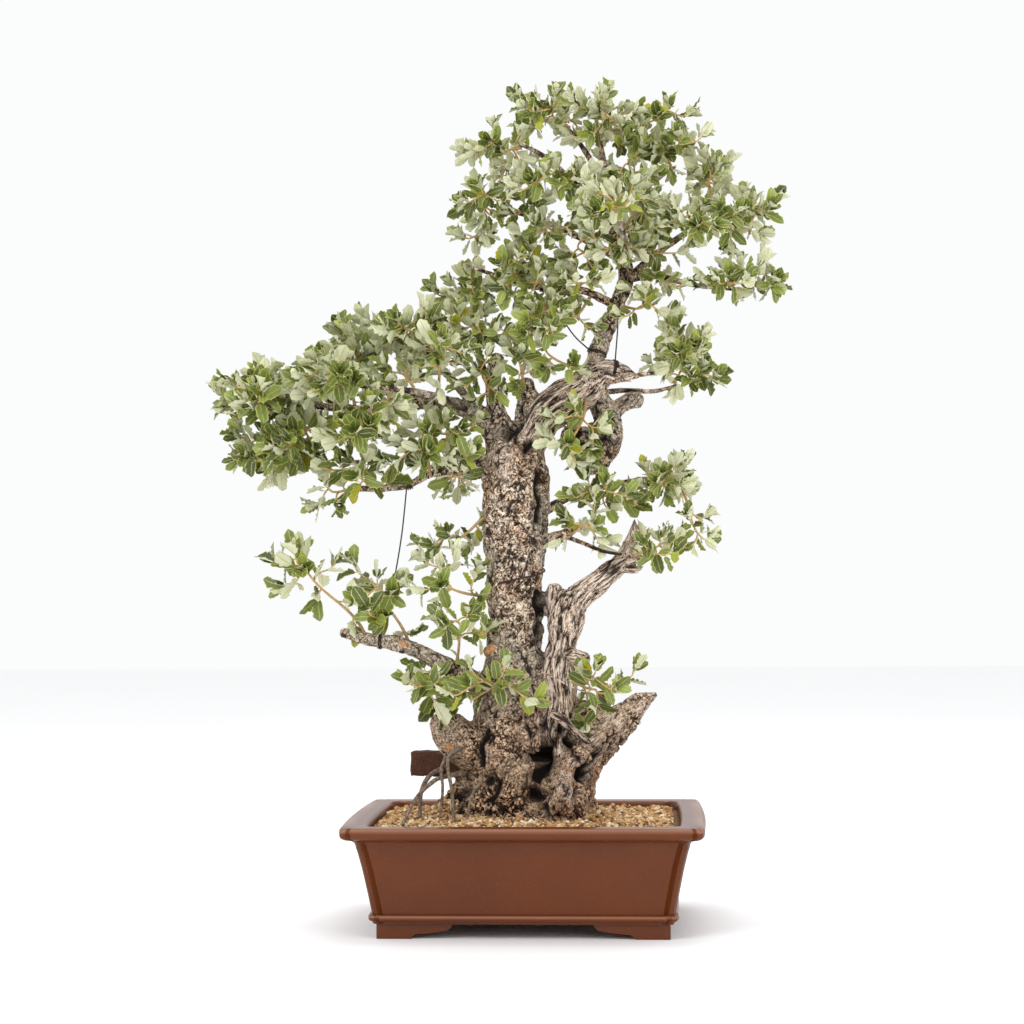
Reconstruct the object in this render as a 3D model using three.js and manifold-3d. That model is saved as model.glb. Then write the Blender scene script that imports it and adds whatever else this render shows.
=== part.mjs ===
// Holm oak bonsai in an unglazed clay pot, in millimetres, +Z up, the pot's front towards -Y.
// The model is laid out round the middle of the pot's underside. At the end the whole group is
// shifted, so that its origin is the bottom centre of the whole plant's box.
import * as THREE from "three";
import { mergeVertices } from "three/addons/utils/BufferGeometryUtils.js";
import Module from "manifold-3d";

const wasm = await Module();
wasm.setup();

// Driving dimensions
const POT_WIDTH = 420;
const POT_DEPTH = 340;
const POT_HEIGHT = 132;
const RIM_HEIGHT = 12;
const RIM_WIDTH = 27;
const WALL = 12;
const BELT_Z = 25;
const BELT_PROUD = 3.5;
const FOOT_HEIGHT = 17;
const FOOT_ARM_LONG = 89;
const FOOT_ARM_SHORT = 74;
const FOOT_THICK = 26;
const FLOOR = 12;
const RIM_BOW = 5;
const FOOT_BOW = 1.5;
const INNER_BOW = 3;
const CORNER_BEAD = 14;
const CORNER_GROOVE = 3.5;
const INNER_CORNER = 20;
const DRAIN_RADIUS = 15;
const DRAIN_SPACING = 180;

const SOIL_EDGE_Z = 125;
const SOIL_MOUND = 9;
const SOIL_MOUND_RADIUS = 115;
const GRIT_RELIEF = 1.1;
const SEAT_GAP = 0.35;

const LEAF_LENGTH = 36;
const LEAF_WIDTH = 19;
const LEAF_THICK = 1.5;
const TWIG_RADIUS = 1.9;
const TWIG_FLARE = 1.15;
const TWIG_FACES = 4;
const TWIG_SAG = 0.06;
const SHOOT_RADIUS = 1.3;
const SHOOT_TAPER = 0.8;
const SHOOT_FACES = 3;
const SHOOT_SAG = 0.12;
const WIRE_RADIUS = 0.9;

// How clusters and blades vary, as the bounds of each draw. A shoot's spread is in turns round its
// spray, out and lift are shares of the spray's reach, and start is a share of the main twig.
const SHOOT_SPREAD = [-0.15, 0.15];
const SHOOT_OUT = [0.7, 1];
const SHOOT_LIFT = [-0.8, 0.8];
const SHOOT_START = [0.55, 1];
const BLADE_SIZE = [0.82, 1.18];
const BLADE_RISE = [0.15, 0.9];
const BLADE_TWIST = [-0.35, 0.35];
const BLADE_CURL = [-1, 4];
const UPWARD = new THREE.Vector3(0, 0, 1);
const LIGHT_PULL = 0.9;
const FEWEST_BLADES = 3;
const MOST_ATTEMPTS = 40;

// The woody body. Each limb is its course from root to end as [x, y, z, radius], with the number
// of its faces round, how rough its bark is, and whether it ends in a cut face or in a point.
const LIMBS = {
  bole: { faces: 12, rough: 0.07, course: [
    [-2, 5, 84, 52], [-8, 5, 128, 64], [-14, 5, 172, 61], [-18, 5, 220, 53], [-20, 5, 270, 45],
    [-17, 5, 318, 36], [-15, 5, 360, 33], [-15, 5, 416, 35], [-14, 5, 465, 39], [-13, 5, 508, 42],
    [-13, 5, 545, 41], [-12, 5, 576, 33], [-10, 5, 592, 25]] },
  shaft: { faces: 7, rough: 0.1, course: [
    [-7, 0, 560, 24], [2, 0, 612, 16], [4, 0, 636, 13.5], [1, 2, 658, 10]] },
  left_fork: { faces: 5, rough: 0.06, end: "point", course: [
    [-22, 8, 548, 26], [-39, 15, 595, 15], [-56, 20, 618, 12], [-82, 25, 630, 11],
    [-120, 25, 637, 10.5], [-157, 20, 633, 8.6], [-193, 10, 627, 6.8], [-240, 0, 630, 5.2],
    [-300, -8, 642, 4], [-345, -10, 652, 3]] },
  right_limb: { faces: 7, rough: 0.09, course: [
    [-6, 2, 566, 22], [12, 0, 600, 24], [30, -2, 622, 26], [50, -4, 635, 26], [72, -2, 649, 24],
    [90, 2, 664, 17]] },
  jin_top: { faces: 5, rough: 0.16, end: "point", course: [
    [70, -2, 662, 15], [91, 0, 675, 11], [110, 4, 674, 9], [123, 8, 671, 7], [137, 11, 665, 2.4]] },
  jin_top_shard: { faces: 4, rough: 0.15, end: "point", course: [
    [88, -8, 668, 7], [108, -9, 661, 5], [130, -6, 657, 2]] },
  leader: { faces: 6, rough: 0.08, end: "point", course: [
    [76, 4, 644, 18], [85, 10, 685, 11.5], [91, 12, 704, 10.4], [100, 14, 723, 9.8],
    [114, 16, 760, 9.8], [124, 16, 784, 10.5], [122, 14, 806, 9.8], [113, 10, 833, 8.6],
    [106, 6, 857, 7.4], [102, 2, 887, 6.1], [98, 0, 924, 4.9], [92, 0, 965, 3.2]] },
  loop: { faces: 7, rough: 0.12, course: [
    [70, 14, 655, 16], [88, 26, 636, 14], [98, 30, 613, 18], [94, 30, 588, 25], [83, 26, 566, 21],
    [68, 22, 553, 12]] },
  loop_knob: { faces: 5, rough: 0.1, course: [
    [92, 30, 610, 12], [113, 34, 628, 10], [130, 34, 637, 11], [139, 34, 636, 9.6]] },
  jin_column: { faces: 8, rough: 0.16, course: [
    [26, -6, 168, 40], [33, -10, 215, 31], [39, -10, 262, 20], [41, -8, 312, 16],
    [43, -6, 343, 18], [48, -4, 369, 24], [54, -2, 392, 20]] },
  jin_left_tip: { faces: 5, rough: 0.14, course: [[39, 0, 356, 14], [34, 0, 391, 12], [33, 0, 407, 9]] },
  jin_arm: { faces: 6, rough: 0.16, end: "point", course: [
    [48, -4, 374, 20], [70, -4, 400, 16], [92, -4, 417, 14], [114, -2, 434, 12], [133, 2, 442, 8],
    [148, 4, 440, 2.4]] },
  jin_arm_tip: { faces: 4, rough: 0.14, end: "point", course: [
    [120, -4, 430, 7], [134, -6, 428, 5], [143, -7, 432, 1.8]] },
  horn: { faces: 5, rough: 0.08, end: "point", course: [
    [104, -2, 424, 12], [121, 0, 448, 9.5], [131, 2, 472, 7], [132, 2, 490, 1.8]] },
  jin_stub: { faces: 5, rough: 0.1, course: [[44, -10, 326, 14], [60, -18, 322, 11], [73, -22, 320, 8]] },
  base_stub: { faces: 7, rough: 0.14, end: "point", course: [
    [20, -8, 140, 52], [44, -8, 172, 42], [66, -8, 203, 33], [93, -8, 227, 27], [117, -6, 249, 20],
    [137, -4, 266, 13], [157, -2, 276, 4]] },
  front_knob: { faces: 7, rough: 0.1, course: [[20, -20, 126, 34], [34, -42, 146, 31], [42, -60, 170, 24]] },
  middle_knob: { faces: 5, rough: 0.1, course: [[50, -14, 180, 24], [66, -38, 204, 15]] },
  burl: { faces: 7, rough: 0.1, course: [
    [-50, 0, 196, 30], [-84, -6, 222, 27], [-98, -10, 236, 24], [-108, -14, 246, 13]] },
  sawn_root: { faces: 7, rough: 0.05, course: [[-52, 8, 186, 24], [-80, 11, 191, 17], [-145, 12, 193, 16]] },
  root_front: { faces: 4, rough: 0.1, end: "point", course: [
    [-78, -18, 182, 6], [-90, -30, 181, 4.4], [-106, -45, 178, 3.8], [-119, -60, 169, 3.5],
    [-132, -85, 153, 3.2], [-142, -108, 130, 3]] },
  root_side: { faces: 4, rough: 0.1, end: "point", course: [
    [-100, -2, 188, 5], [-118, -16, 180, 4], [-128, -24, 162, 3.8], [-130, -32, 126, 3.4]] },
  root_middle: { faces: 4, rough: 0.1, end: "point", course: [
    [-80, -30, 214, 5], [-93, -42, 205, 3.4], [-94, -46, 190, 3], [-90, -50, 170, 3], [-86, -56, 126, 3]] },
  root_flare_left: { faces: 5, rough: 0.08, end: "point", course: [
    [-40, -10, 160, 24], [-66, -26, 142, 17], [-90, -40, 124, 8]] },
  root_flare_back: { faces: 5, rough: 0.08, end: "point", course: [
    [-20, 30, 165, 26], [-40, 62, 140, 18], [-54, 88, 120, 8]] },
  root_flare_right: { faces: 5, rough: 0.08, end: "point", course: [
    [30, 24, 160, 26], [62, 50, 138, 17], [86, 70, 120, 8]] },
  low_left: { faces: 5, rough: 0.07, course: [
    [-24, 2, 250, 24], [-46, -4, 274, 17], [-63, -12, 291, 13], [-84, -22, 305, 11.5],
    [-109, -31, 319, 10.5], [-131, -38, 331, 9.6], [-158, -42, 341, 9], [-187, -44, 345, 7.8],
    [-221, -46, 354, 6.4]] },
  middle_right: { faces: 5, rough: 0.07, course: [
    [0, 0, 452, 9], [20, -4, 464, 6.2], [43, -6, 472, 5.2], [64, -8, 480, 4.2]] },
  under_left: { faces: 5, rough: 0.07, course: [
    [-26, 8, 566, 13], [-63, 6, 560, 6.6], [-93, 2, 551, 5.4], [-121, -2, 545, 5],
    [-143, -6, 534, 5], [-171, -10, 530, 4.6], [-211, -14, 529, 4.1]] },
  upper_stub: { faces: 5, rough: 0.08, course: [
    [-22, 10, 590, 15], [-38, 13, 630, 10.5], [-41, 12, 660, 9.6], [-34, 6, 690, 9]] },
  trunk_stub: { faces: 5, rough: 0.05, course: [[-38, -18, 326, 11], [-44, -34, 331, 8]] },
  left_upper: { faces: 4, rough: 0.06, end: "point", course: [
    [-60, 20, 622, 9], [-92, 38, 664, 7], [-130, 52, 700, 5.4], [-176, 58, 722, 3]] },
  left_front: { faces: 4, rough: 0.06, end: "point", course: [
    [-70, 22, 626, 8], [-108, -30, 640, 6.4], [-165, -72, 648, 5], [-225, -88, 650, 3]] },
  left_back: { faces: 4, rough: 0.06, end: "point", course: [
    [-100, 26, 634, 8], [-140, 76, 648, 6], [-195, 104, 656, 4.6], [-250, 106, 650, 3]] },
  left_low: { faces: 4, rough: 0.06, end: "point", course: [
    [-180, 14, 628, 6.5], [-226, 14, 596, 5], [-276, 6, 574, 4], [-318, 0, 560, 3]] },
  rise: { faces: 4, rough: 0.06, end: "point", course: [
    [-38, 10, 644, 8], [-58, 28, 690, 6.4], [-64, 32, 738, 5], [-58, 28, 786, 3]] },
  inner_left: { faces: 4, rough: 0.06, end: "point", course: [
    [112, 15, 752, 8], [70, -2, 770, 6], [23, -12, 772, 5], [-28, -16, 786, 4.2], [-72, -10, 802, 3]] },
  crown_left: { faces: 4, rough: 0.06, end: "point", course: [
    [120, 13, 808, 8], [74, 30, 836, 6.2], [24, 32, 860, 5], [-26, 22, 876, 4.2], [-62, 10, 884, 3]] },
  crown_upper_left: { faces: 4, rough: 0.06, end: "point", course: [
    [106, 6, 857, 7], [62, -20, 898, 5.6], [22, -22, 934, 4.6], [-16, -12, 954, 3]] },
  crown_right: { faces: 4, rough: 0.06, end: "point", course: [
    [124, 15, 780, 9], [150, 14, 806, 7], [192, 8, 836, 5.6], [238, 0, 858, 4.4], [276, 0, 866, 3]] },
  crown_low_right: { faces: 4, rough: 0.06, end: "point", course: [
    [130, 14, 786, 7], [164, 2, 786, 5.4], [204, -10, 774, 4.4], [256, -16, 766, 3]] },
  crown_front: { faces: 4, rough: 0.06, end: "point", course: [
    [120, 14, 794, 7], [122, -44, 828, 5.6], [112, -96, 856, 3]] },
  crown_back: { faces: 4, rough: 0.06, end: "point", course: [
    [120, 14, 812, 7], [132, 74, 842, 5.6], [128, 116, 868, 3]] },
  crown_upper_right: { faces: 4, rough: 0.06, end: "point", course: [
    [105, 5, 862, 7], [150, 10, 898, 5.4], [186, 6, 922, 3]] },
  crown_top: { faces: 4, rough: 0.06, end: "point", course: [
    [100, 1, 900, 6], [74, 8, 944, 4.6], [52, 8, 976, 3]] },
  right_twin_high: { faces: 4, rough: 0.05, end: "point", course: [
    [88, 0, 655, 6], [116, -12, 659, 4.4], [145, -16, 665, 3.8], [181, -18, 668, 3]] },
  right_twin_low: { faces: 4, rough: 0.05, end: "point", course: [
    [82, 22, 645, 6], [118, 42, 650, 4.4], [161, 40, 649, 3.8], [186, 36, 656, 3]] },
  mid_back: { faces: 4, rough: 0.06, end: "point", course: [
    [0, 24, 486, 11], [46, 46, 516, 7], [100, 46, 532, 5.4], [150, 34, 540, 4.2], [186, 24, 538, 3]] },
  mid_twig: { faces: 4, rough: 0.05, end: "point", course: [
    [44, -7, 470, 4], [66, -20, 462, 3.6], [96, -28, 450, 3.2], [136, -24, 444, 2.8]] },
};

// Where limbs leave a plain tie behind, a wire runs taut between two of them
const WIRES = {
  guy_wire_left: [[-145, -8, 541], [-151.5, -20, 470], [-162, -32, 405], [-174, -43, 352.5]],
  guy_wire_centre: [[27, -12, 766], [42, -2, 742], [60, 5, 715], [78, 9, 698]],
  guy_wire_leader: [[117, 10, 822], [117, 0, 780], [114, -3, 730], [110, 3, 684]],
};

// The leafy sprays: the limb that each grows from, how far along it, the middle of its foliage,
// how far its shoots reach from there in x, y and z, and how many clusters of leaves it carries
const SPRAYS = [
  ["left_fork", 0.99, [-334, -8, 640], [30, 40, 24], 3],
  ["left_fork", 0.86, [-302, -44, 636], [34, 34, 22], 2],
  ["left_fork", 0.7, [-238, 4, 690], [36, 36, 22], 3],
  ["left_front", 0.95, [-232, -90, 652], [38, 34, 28], 3],
  ["left_back", 0.92, [-240, 100, 656], [38, 36, 30], 2],
  ["left_upper", 0.95, [-186, 52, 718], [36, 36, 20], 3],
  ["left_upper", 0.6, [-146, -8, 712], [36, 34, 26], 2],
  ["left_low", 0.97, [-308, 4, 560], [36, 40, 32], 3],
  ["left_low", 0.55, [-272, -36, 596], [38, 30, 26], 2],
  ["under_left", 0.85, [-216, -30, 540], [38, 34, 28], 2],
  ["left_front", 0.6, [-176, -84, 604], [38, 34, 28], 2],
  ["left_front", 0.3, [-110, -62, 676], [36, 32, 28], 2],
  ["under_left", 0.4, [-108, 40, 540], [34, 34, 24], 2],
  ["rise", 0.95, [-76, 30, 778], [34, 38, 22], 3],
  ["rise", 0.5, [-66, -20, 716], [34, 34, 28], 2],
  ["inner_left", 0.6, [-10, -10, 804], [36, 38, 22], 2],
  ["inner_left", 0.45, [14, -50, 736], [38, 32, 30], 2],
  ["crown_left", 0.93, [-40, 8, 862], [32, 38, 28], 3],
  ["crown_upper_left", 0.93, [-18, -12, 944], [30, 34, 24], 3],
  ["crown_upper_left", 0.5, [44, -56, 892], [36, 34, 30], 2],
  ["crown_top", 0.93, [40, 4, 990], [36, 36, 24], 3],
  ["leader", 0.98, [106, -10, 982], [38, 38, 22], 3],
  ["crown_upper_right", 0.94, [174, 6, 938], [34, 38, 26], 3],
  ["crown_right", 0.97, [282, 4, 876], [26, 38, 28], 3],
  ["crown_right", 0.6, [206, -40, 832], [36, 34, 28], 2],
  ["crown_right", 0.7, [244, 40, 912], [32, 34, 22], 2],
  ["crown_low_right", 0.95, [266, -14, 774], [28, 34, 20], 2],
  ["crown_front", 0.95, [104, -114, 862], [44, 32, 32], 3],
  ["crown_back", 0.95, [118, 126, 872], [46, 32, 32], 3],
  ["right_twin_high", 0.95, [182, -26, 704], [34, 32, 34], 2],
  ["right_twin_low", 0.95, [192, 38, 668], [28, 32, 26], 2],
  ["mid_back", 0.95, [180, 16, 514], [32, 36, 32], 3],
  ["mid_back", 0.5, [100, -8, 500], [38, 28, 24], 2],
  ["mid_twig", 0.95, [164, -28, 446], [36, 32, 26], 2],
  ["low_left", 0.86, [-262, -54, 432], [34, 34, 38], 3],
  ["low_left", 0.66, [-160, -62, 414], [38, 34, 46], 2],
  ["low_left", 0.38, [-78, -62, 386], [36, 30, 44], 2],
  ["bole", 0.36, [-38, -74, 302], [36, 22, 34], 2],
  ["burl", 0.5, [-112, -44, 292], [30, 30, 28], 2],
  ["bole", 0.72, [-80, -10, 462], [26, 32, 28], 2],
  ["base_stub", 0.35, [92, -44, 292], [34, 28, 24], 2],
];

const COLOURS = {
  clay: 0x6d4230,
  grit: 0xb08c5a,
  bark: 0x756a5e,
  leaf: 0x5f7a4a,
  wire: 0x2b2624,
};

// A repeatable random draw from 0 to 1, so that every run grows the same tree
function seededDraw(seed) {
  let state = seed >>> 0;
  return () => {
    state = (state + 0x6d2b79f5) >>> 0;
    let t = Math.imul(state ^ (state >>> 15), 1 | state);
    t = (t + Math.imul(t ^ (t >>> 7), 61 | t)) ^ t;
    return ((t ^ (t >>> 14)) >>> 0) / 4294967296;
  };
}

function meshOf(positions, faces) {
  const geometry = new THREE.BufferGeometry();
  geometry.setAttribute("position", new THREE.Float32BufferAttribute(positions, 3));
  geometry.setIndex(faces);
  return geometry;
}

function solidOf(geometry) {
  const bare = geometry.clone();
  bare.deleteAttribute("normal");
  bare.deleteAttribute("uv");
  const merged = mergeVertices(bare, 1e-4);
  const points = merged.attributes.position;
  const triVerts = new Uint32Array(merged.index.array);
  const corner = [new THREE.Vector3(), new THREE.Vector3(), new THREE.Vector3()];
  let volume = 0;
  for (let i = 0; i < triVerts.length; i += 3) {
    corner.forEach((p, k) => p.fromBufferAttribute(points, triVerts[i + k]));
    volume += corner[0].dot(corner[1].clone().cross(corner[2]));
  }
  if (volume < 0)
    for (let i = 0; i < triVerts.length; i += 3)
      [triVerts[i + 1], triVerts[i + 2]] = [triVerts[i + 2], triVerts[i + 1]];
  return new wasm.Manifold(new wasm.Mesh({
    numProp: 3, vertProperties: points.array, triVerts,
  }));
}

function geometryOf(solid) {
  const mesh = solid.getMesh();
  const positions = [];
  for (let i = 0; i < mesh.numVert; i++)
    positions.push(...mesh.vertProperties.subarray(i * mesh.numProp, i * mesh.numProp + 3));
  return meshOf(positions, Array.from(mesh.triVerts));
}

function joined(solids) {
  return solids.reduce((whole, next) => whole.add(next));
}

// The largest body of a solid, without scraps that a cut left loose
function mainBody(solid) {
  return solid.decompose().reduce((best, next) => (next.volume() > best.volume() ? next : best));
}

// A closed solid through rings of equally many points, each ring given as THREE.Vector3s
function loft(rings) {
  const count = rings[0].length;
  const positions = rings.flat().flatMap((p) => [p.x, p.y, p.z]);
  const faces = [];
  for (let r = 0; r + 1 < rings.length; r++)
    for (let i = 0; i < count; i++) {
      const next = (i + 1) % count;
      const a = r * count + i;
      const b = r * count + next;
      faces.push(a, b, b + count, a, b + count, a + count);
    }
  const addCap = (ring, start, flip) => {
    const middle = ring.reduce((sum, p) => sum.add(p), new THREE.Vector3()).divideScalar(count);
    const centre = positions.length / 3;
    positions.push(middle.x, middle.y, middle.z);
    for (let i = 0; i < count; i++) {
      const next = (i + 1) % count;
      faces.push(centre, start + (flip ? next : i), start + (flip ? i : next));
    }
  };
  addCap(rings[0], 0, true);
  addCap(rings.at(-1), (rings.length - 1) * count, false);
  return solidOf(meshOf(positions, faces));
}

// Rings round a smooth curve. radiusAt gives the radius for a place along the curve from 0 to 1
// and an angle round it.
function ringsAlong(curve, steps, faces, radiusAt) {
  const rings = [];
  const side = new THREE.Vector3();
  for (let s = 0; s <= steps; s++) {
    const t = s / steps;
    const centre = curve.getPoint(t);
    const along = curve.getTangent(t);
    if (s === 0) side.set(Math.abs(along.x) > 0.8 ? 0 : 1, Math.abs(along.x) > 0.8 ? 1 : 0, 0);
    side.addScaledVector(along, -side.dot(along)).normalize();
    const over = new THREE.Vector3().crossVectors(along, side);
    const ring = [];
    for (let i = 0; i < faces; i++) {
      const angle = (i / faces) * 2 * Math.PI;
      const radius = radiusAt(t, angle, s, i);
      ring.push(centre.clone()
        .addScaledVector(side, radius * Math.cos(angle))
        .addScaledVector(over, radius * Math.sin(angle)));
    }
    rings.push(ring);
  }
  return rings;
}

function courseOf(name) {
  return new THREE.CatmullRomCurve3(
    LIMBS[name].course.map(([x, y, z]) => new THREE.Vector3(x, y, z)), false, "centripetal");
}

function radiusAlong(name, t) {
  const course = LIMBS[name].course;
  const place = t * (course.length - 1);
  const before = Math.min(Math.floor(place), course.length - 2);
  return THREE.MathUtils.lerp(course[before][3], course[before + 1][3], place - before);
}

// One limb with its bark relief, grown all round by a little where something is cut to fit it
function limb(name, grow) {
  const { faces, rough, end, course } = LIMBS[name];
  const curve = courseOf(name);
  const draw = seededDraw(name.length * 7919 + course.length * 104729 + course[0][2]);
  const steps = Math.max(2, course.length - 1);
  const turn = draw() * 6;
  const jitter = Array.from({ length: (steps + 1) * faces }, () => draw() - 0.5);
  const rings = ringsAlong(curve, steps, faces, (t, angle, s, i) => {
    const radius = radiusAlong(name, t) * (end === "point" && s === steps ? 0.45 : 1);
    const flutes = 0.5 * Math.sin(3 * angle + turn + 2 * t) + 0.5 * Math.sin(5 * angle - turn + 5 * t);
    return radius * (1 + rough * (flutes + jitter[s * faces + i])) + grow;
  });
  if (grow > 0) {
    for (const [ring, way] of [[rings[0], -1], [rings.at(-1), 1]]) {
      const along = curve.getTangent(way < 0 ? 0 : 1);
      ring.forEach((p) => p.addScaledVector(along, way * grow));
    }
  }
  return loft(rings);
}

function woodyBody(grow) {
  return joined(Object.keys(LIMBS).map((name) => limb(name, grow)));
}

// One level of the pot's outline, half a width of halfX at the middle of its corners. The corners
// are indented beads outside and plain rounds inside.
function potRing(halfX, z, beaded) {
  const halfY = halfX - (POT_WIDTH - POT_DEPTH) / 2;
  const corner = beaded
    ? [[CORNER_BEAD, 0], [CORNER_BEAD - 3, CORNER_GROOVE], [CORNER_BEAD / 2, 0.8],
      [0.8, CORNER_BEAD / 2], [CORNER_GROOVE, CORNER_BEAD - 3], [0, CORNER_BEAD]]
    : Array.from({ length: 6 }, (_, i) => {
      const angle = (i / 5) * (Math.PI / 2);
      return [INNER_CORNER * (1 - Math.sin(angle)), INNER_CORNER * (1 - Math.cos(angle))];
    });
  const ring = [];
  const mostBow = beaded
    ? THREE.MathUtils.mapLinear(z, FOOT_HEIGHT, POT_HEIGHT, FOOT_BOW, RIM_BOW)
    : INNER_BOW;
  const bow = (y) => mostBow * (1 - (y / halfY) ** 2);
  const put = (x, y) => ring.push(new THREE.Vector3(x + Math.sign(x) * bow(y), y, z));
  for (const [inX, inY] of corner) put(halfX - inX, -halfY + inY);
  put(halfX, -halfY / 2.5);
  put(halfX, halfY / 2.5);
  for (const [inX, inY] of [...corner].reverse()) put(halfX - inX, halfY - inY);
  for (const [inX, inY] of corner) put(-halfX + inX, halfY - inY);
  put(-halfX, halfY / 2.5);
  put(-halfX, -halfY / 2.5);
  for (const [inX, inY] of [...corner].reverse()) put(-halfX + inX, -halfY + inY);
  return ring;
}

// Half the pot's width at its corners, outside, from the rim down to the feet
const RIM_HALF = POT_WIDTH / 2;
const WALL_TOP_HALF = 192;
const WALL_FOOT_HALF = 176.5;
const FOOT_HALF = 171;
const COVE_TOP = POT_HEIGHT - RIM_HEIGHT;
const COVE_FOOT = COVE_TOP - 14;

function potBody() {
  const outside = [
    [WALL_FOOT_HALF - 3, FOOT_HEIGHT - 1],
    [WALL_FOOT_HALF, BELT_Z - 4.5],
    [WALL_FOOT_HALF + BELT_PROUD, BELT_Z],
    [WALL_FOOT_HALF, BELT_Z + 4.5],
    [WALL_TOP_HALF, COVE_FOOT],
    [WALL_TOP_HALF + 6, COVE_FOOT + 9],
    [RIM_HALF - 3, COVE_TOP],
    [RIM_HALF, COVE_TOP + 2],
    [RIM_HALF, POT_HEIGHT - 2],
    [RIM_HALF - 2, POT_HEIGHT],
  ];
  const inside = [
    [RIM_HALF - RIM_WIDTH, POT_HEIGHT],
    [WALL_FOOT_HALF - WALL, FOOT_HEIGHT + FLOOR],
  ];
  let body = loft([
    ...outside.map(([half, z]) => potRing(half, z, true)),
    ...inside.map(([half, z]) => potRing(half, z, false)),
  ]);
  for (const side of [-1, 1]) {
    const drain = new THREE.CylinderGeometry(DRAIN_RADIUS, DRAIN_RADIUS, 3 * FLOOR, 10);
    drain.rotateX(Math.PI / 2);
    drain.translate((side * DRAIN_SPACING) / 2, 0, FOOT_HEIGHT + FLOOR / 2);
    body = body.subtract(solidOf(drain));
  }
  return body;
}

// A foot's arm seen from the front: a flat sole, then an ogee up to the pot's underside
function footArm(length) {
  const sole = length * 0.46;
  const shape = new THREE.Shape([
    [0, 0], [sole, 0], [sole + length * 0.11, FOOT_HEIGHT * 0.34],
    [sole + length * 0.41, FOOT_HEIGHT * 0.52], [length, FOOT_HEIGHT + 1], [0, FOOT_HEIGHT + 1],
  ].map(([x, y]) => new THREE.Vector2(x, y)));
  return new THREE.ExtrudeGeometry(shape, { depth: FOOT_THICK, bevelEnabled: false });
}

// The foot in the corner towards +X and +Y, turned into each corner by mirroring
function foot(mirrorX, mirrorY) {
  const footX = FOOT_HALF;
  const footY = footX - (POT_WIDTH - POT_DEPTH) / 2;
  const alongX = footArm(FOOT_ARM_LONG);
  alongX.rotateX(Math.PI / 2);
  alongX.scale(-1, 1, 1);
  alongX.translate(footX, footY, 0);
  const alongY = footArm(FOOT_ARM_SHORT);
  alongY.rotateX(Math.PI / 2);
  alongY.rotateZ(-Math.PI / 2);
  alongY.translate(footX, footY, 0);
  return joined([alongX, alongY].map((arm) => solidOf(arm.scale(mirrorX, mirrorY, 1))));
}

function pot() {
  const corners = [[1, 1], [1, -1], [-1, 1], [-1, -1]].map(([x, y]) => foot(x, y));
  return joined([potBody(), ...corners]);
}

// The soil fills the pot up to just under the rim, mounded round the trunk, with gritty relief
function soil(woodWithGap) {
  const draw = seededDraw(11);
  const bands = 3;
  const bottomZ = FOOT_HEIGHT + FLOOR + SEAT_GAP;
  const slope = (RIM_HALF - RIM_WIDTH - WALL_FOOT_HALF + WALL) / (POT_HEIGHT - FOOT_HEIGHT - FLOOR);
  const halfAt = (z) => WALL_FOOT_HALF - WALL + slope * (z - FOOT_HEIGHT - FLOOR) - SEAT_GAP;
  const edge = potRing(halfAt(SOIL_EDGE_Z), SOIL_EDGE_Z, false);
  const surface = [];
  for (let band = 0; band <= bands; band++) {
    const share = 1 - (band / bands) * 0.96;
    surface.push(edge.map((p) => {
      const x = p.x * share;
      const y = p.y * share;
      const mound = SOIL_MOUND * Math.exp(-(x * x + y * y) / SOIL_MOUND_RADIUS ** 2);
      const grit = band === 0 ? 0 : GRIT_RELIEF * (2 * draw() - 1);
      return new THREE.Vector3(x, y, SOIL_EDGE_Z + mound + grit);
    }));
  }
  const filling = loft([potRing(halfAt(bottomZ), bottomZ, false), ...surface]);
  return mainBody(filling.subtract(woodWithGap));
}

// One toothed blade in its own flat frame, x along the midrib and y across, going round from the
// right of its foot to the left: spiny teeth with hollows between them
const BLADE_OUTLINE = [
  [0.42, -0.4], [0.56, -0.32], [0.74, -0.46],
  [1, 0],
  [0.74, 0.46], [0.56, 0.32], [0.42, 0.4],
];
const BLADE_TIP = 3;
const BLADE_MIDDLE = 0.52;
const CLUSTER_SLOTS = 5;

// A cluster of blades that grow from one bud, as one closed body round its axis. Each entry of
// blades is null for a bare slot, or says how long the blade is, how steeply it stands and its twist.
function clusterPlaces(centre, axis, turn, blades) {
  const across = new THREE.Vector3(Math.abs(axis.x) > 0.8 ? 0 : 1, Math.abs(axis.x) > 0.8 ? 1 : 0, 0);
  across.addScaledVector(axis, -across.dot(axis)).normalize();
  const beside = new THREE.Vector3().crossVectors(axis, across);
  const heading = (angle) => across.clone().multiplyScalar(Math.cos(angle))
    .addScaledVector(beside, Math.sin(angle));
  return blades.map((blade, i) => {
    const angle = turn + (i / CLUSTER_SLOTS) * 2 * Math.PI;
    const valley = centre.clone()
      .addScaledVector(heading(angle - Math.PI / CLUSTER_SLOTS), SHOOT_RADIUS);
    if (!blade) return { valley, outline: null };
    const outward = heading(angle);
    const sideways = new THREE.Vector3().crossVectors(axis, outward);
    const along = outward.clone().multiplyScalar(Math.cos(blade.rise))
      .addScaledVector(axis, Math.sin(blade.rise));
    const face = new THREE.Vector3().crossVectors(along, sideways);
    const rolled = sideways.clone().multiplyScalar(Math.cos(blade.twist))
      .addScaledVector(face, Math.sin(blade.twist));
    const normal = new THREE.Vector3().crossVectors(along, rolled);
    const place = (x, y) => centre.clone()
      .addScaledVector(along, x * blade.length)
      .addScaledVector(rolled, y * LEAF_WIDTH * (blade.length / LEAF_LENGTH))
      .addScaledVector(normal, -blade.curl * (x * x + 1.4 * y * y));
    return {
      valley,
      outline: BLADE_OUTLINE.map(([x, y]) => place(x, y)),
      over: place(BLADE_MIDDLE, 0).addScaledVector(normal, LEAF_THICK / 2),
      under: place(BLADE_MIDDLE, 0).addScaledVector(normal, -LEAF_THICK / 2),
    };
  });
}

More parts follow.
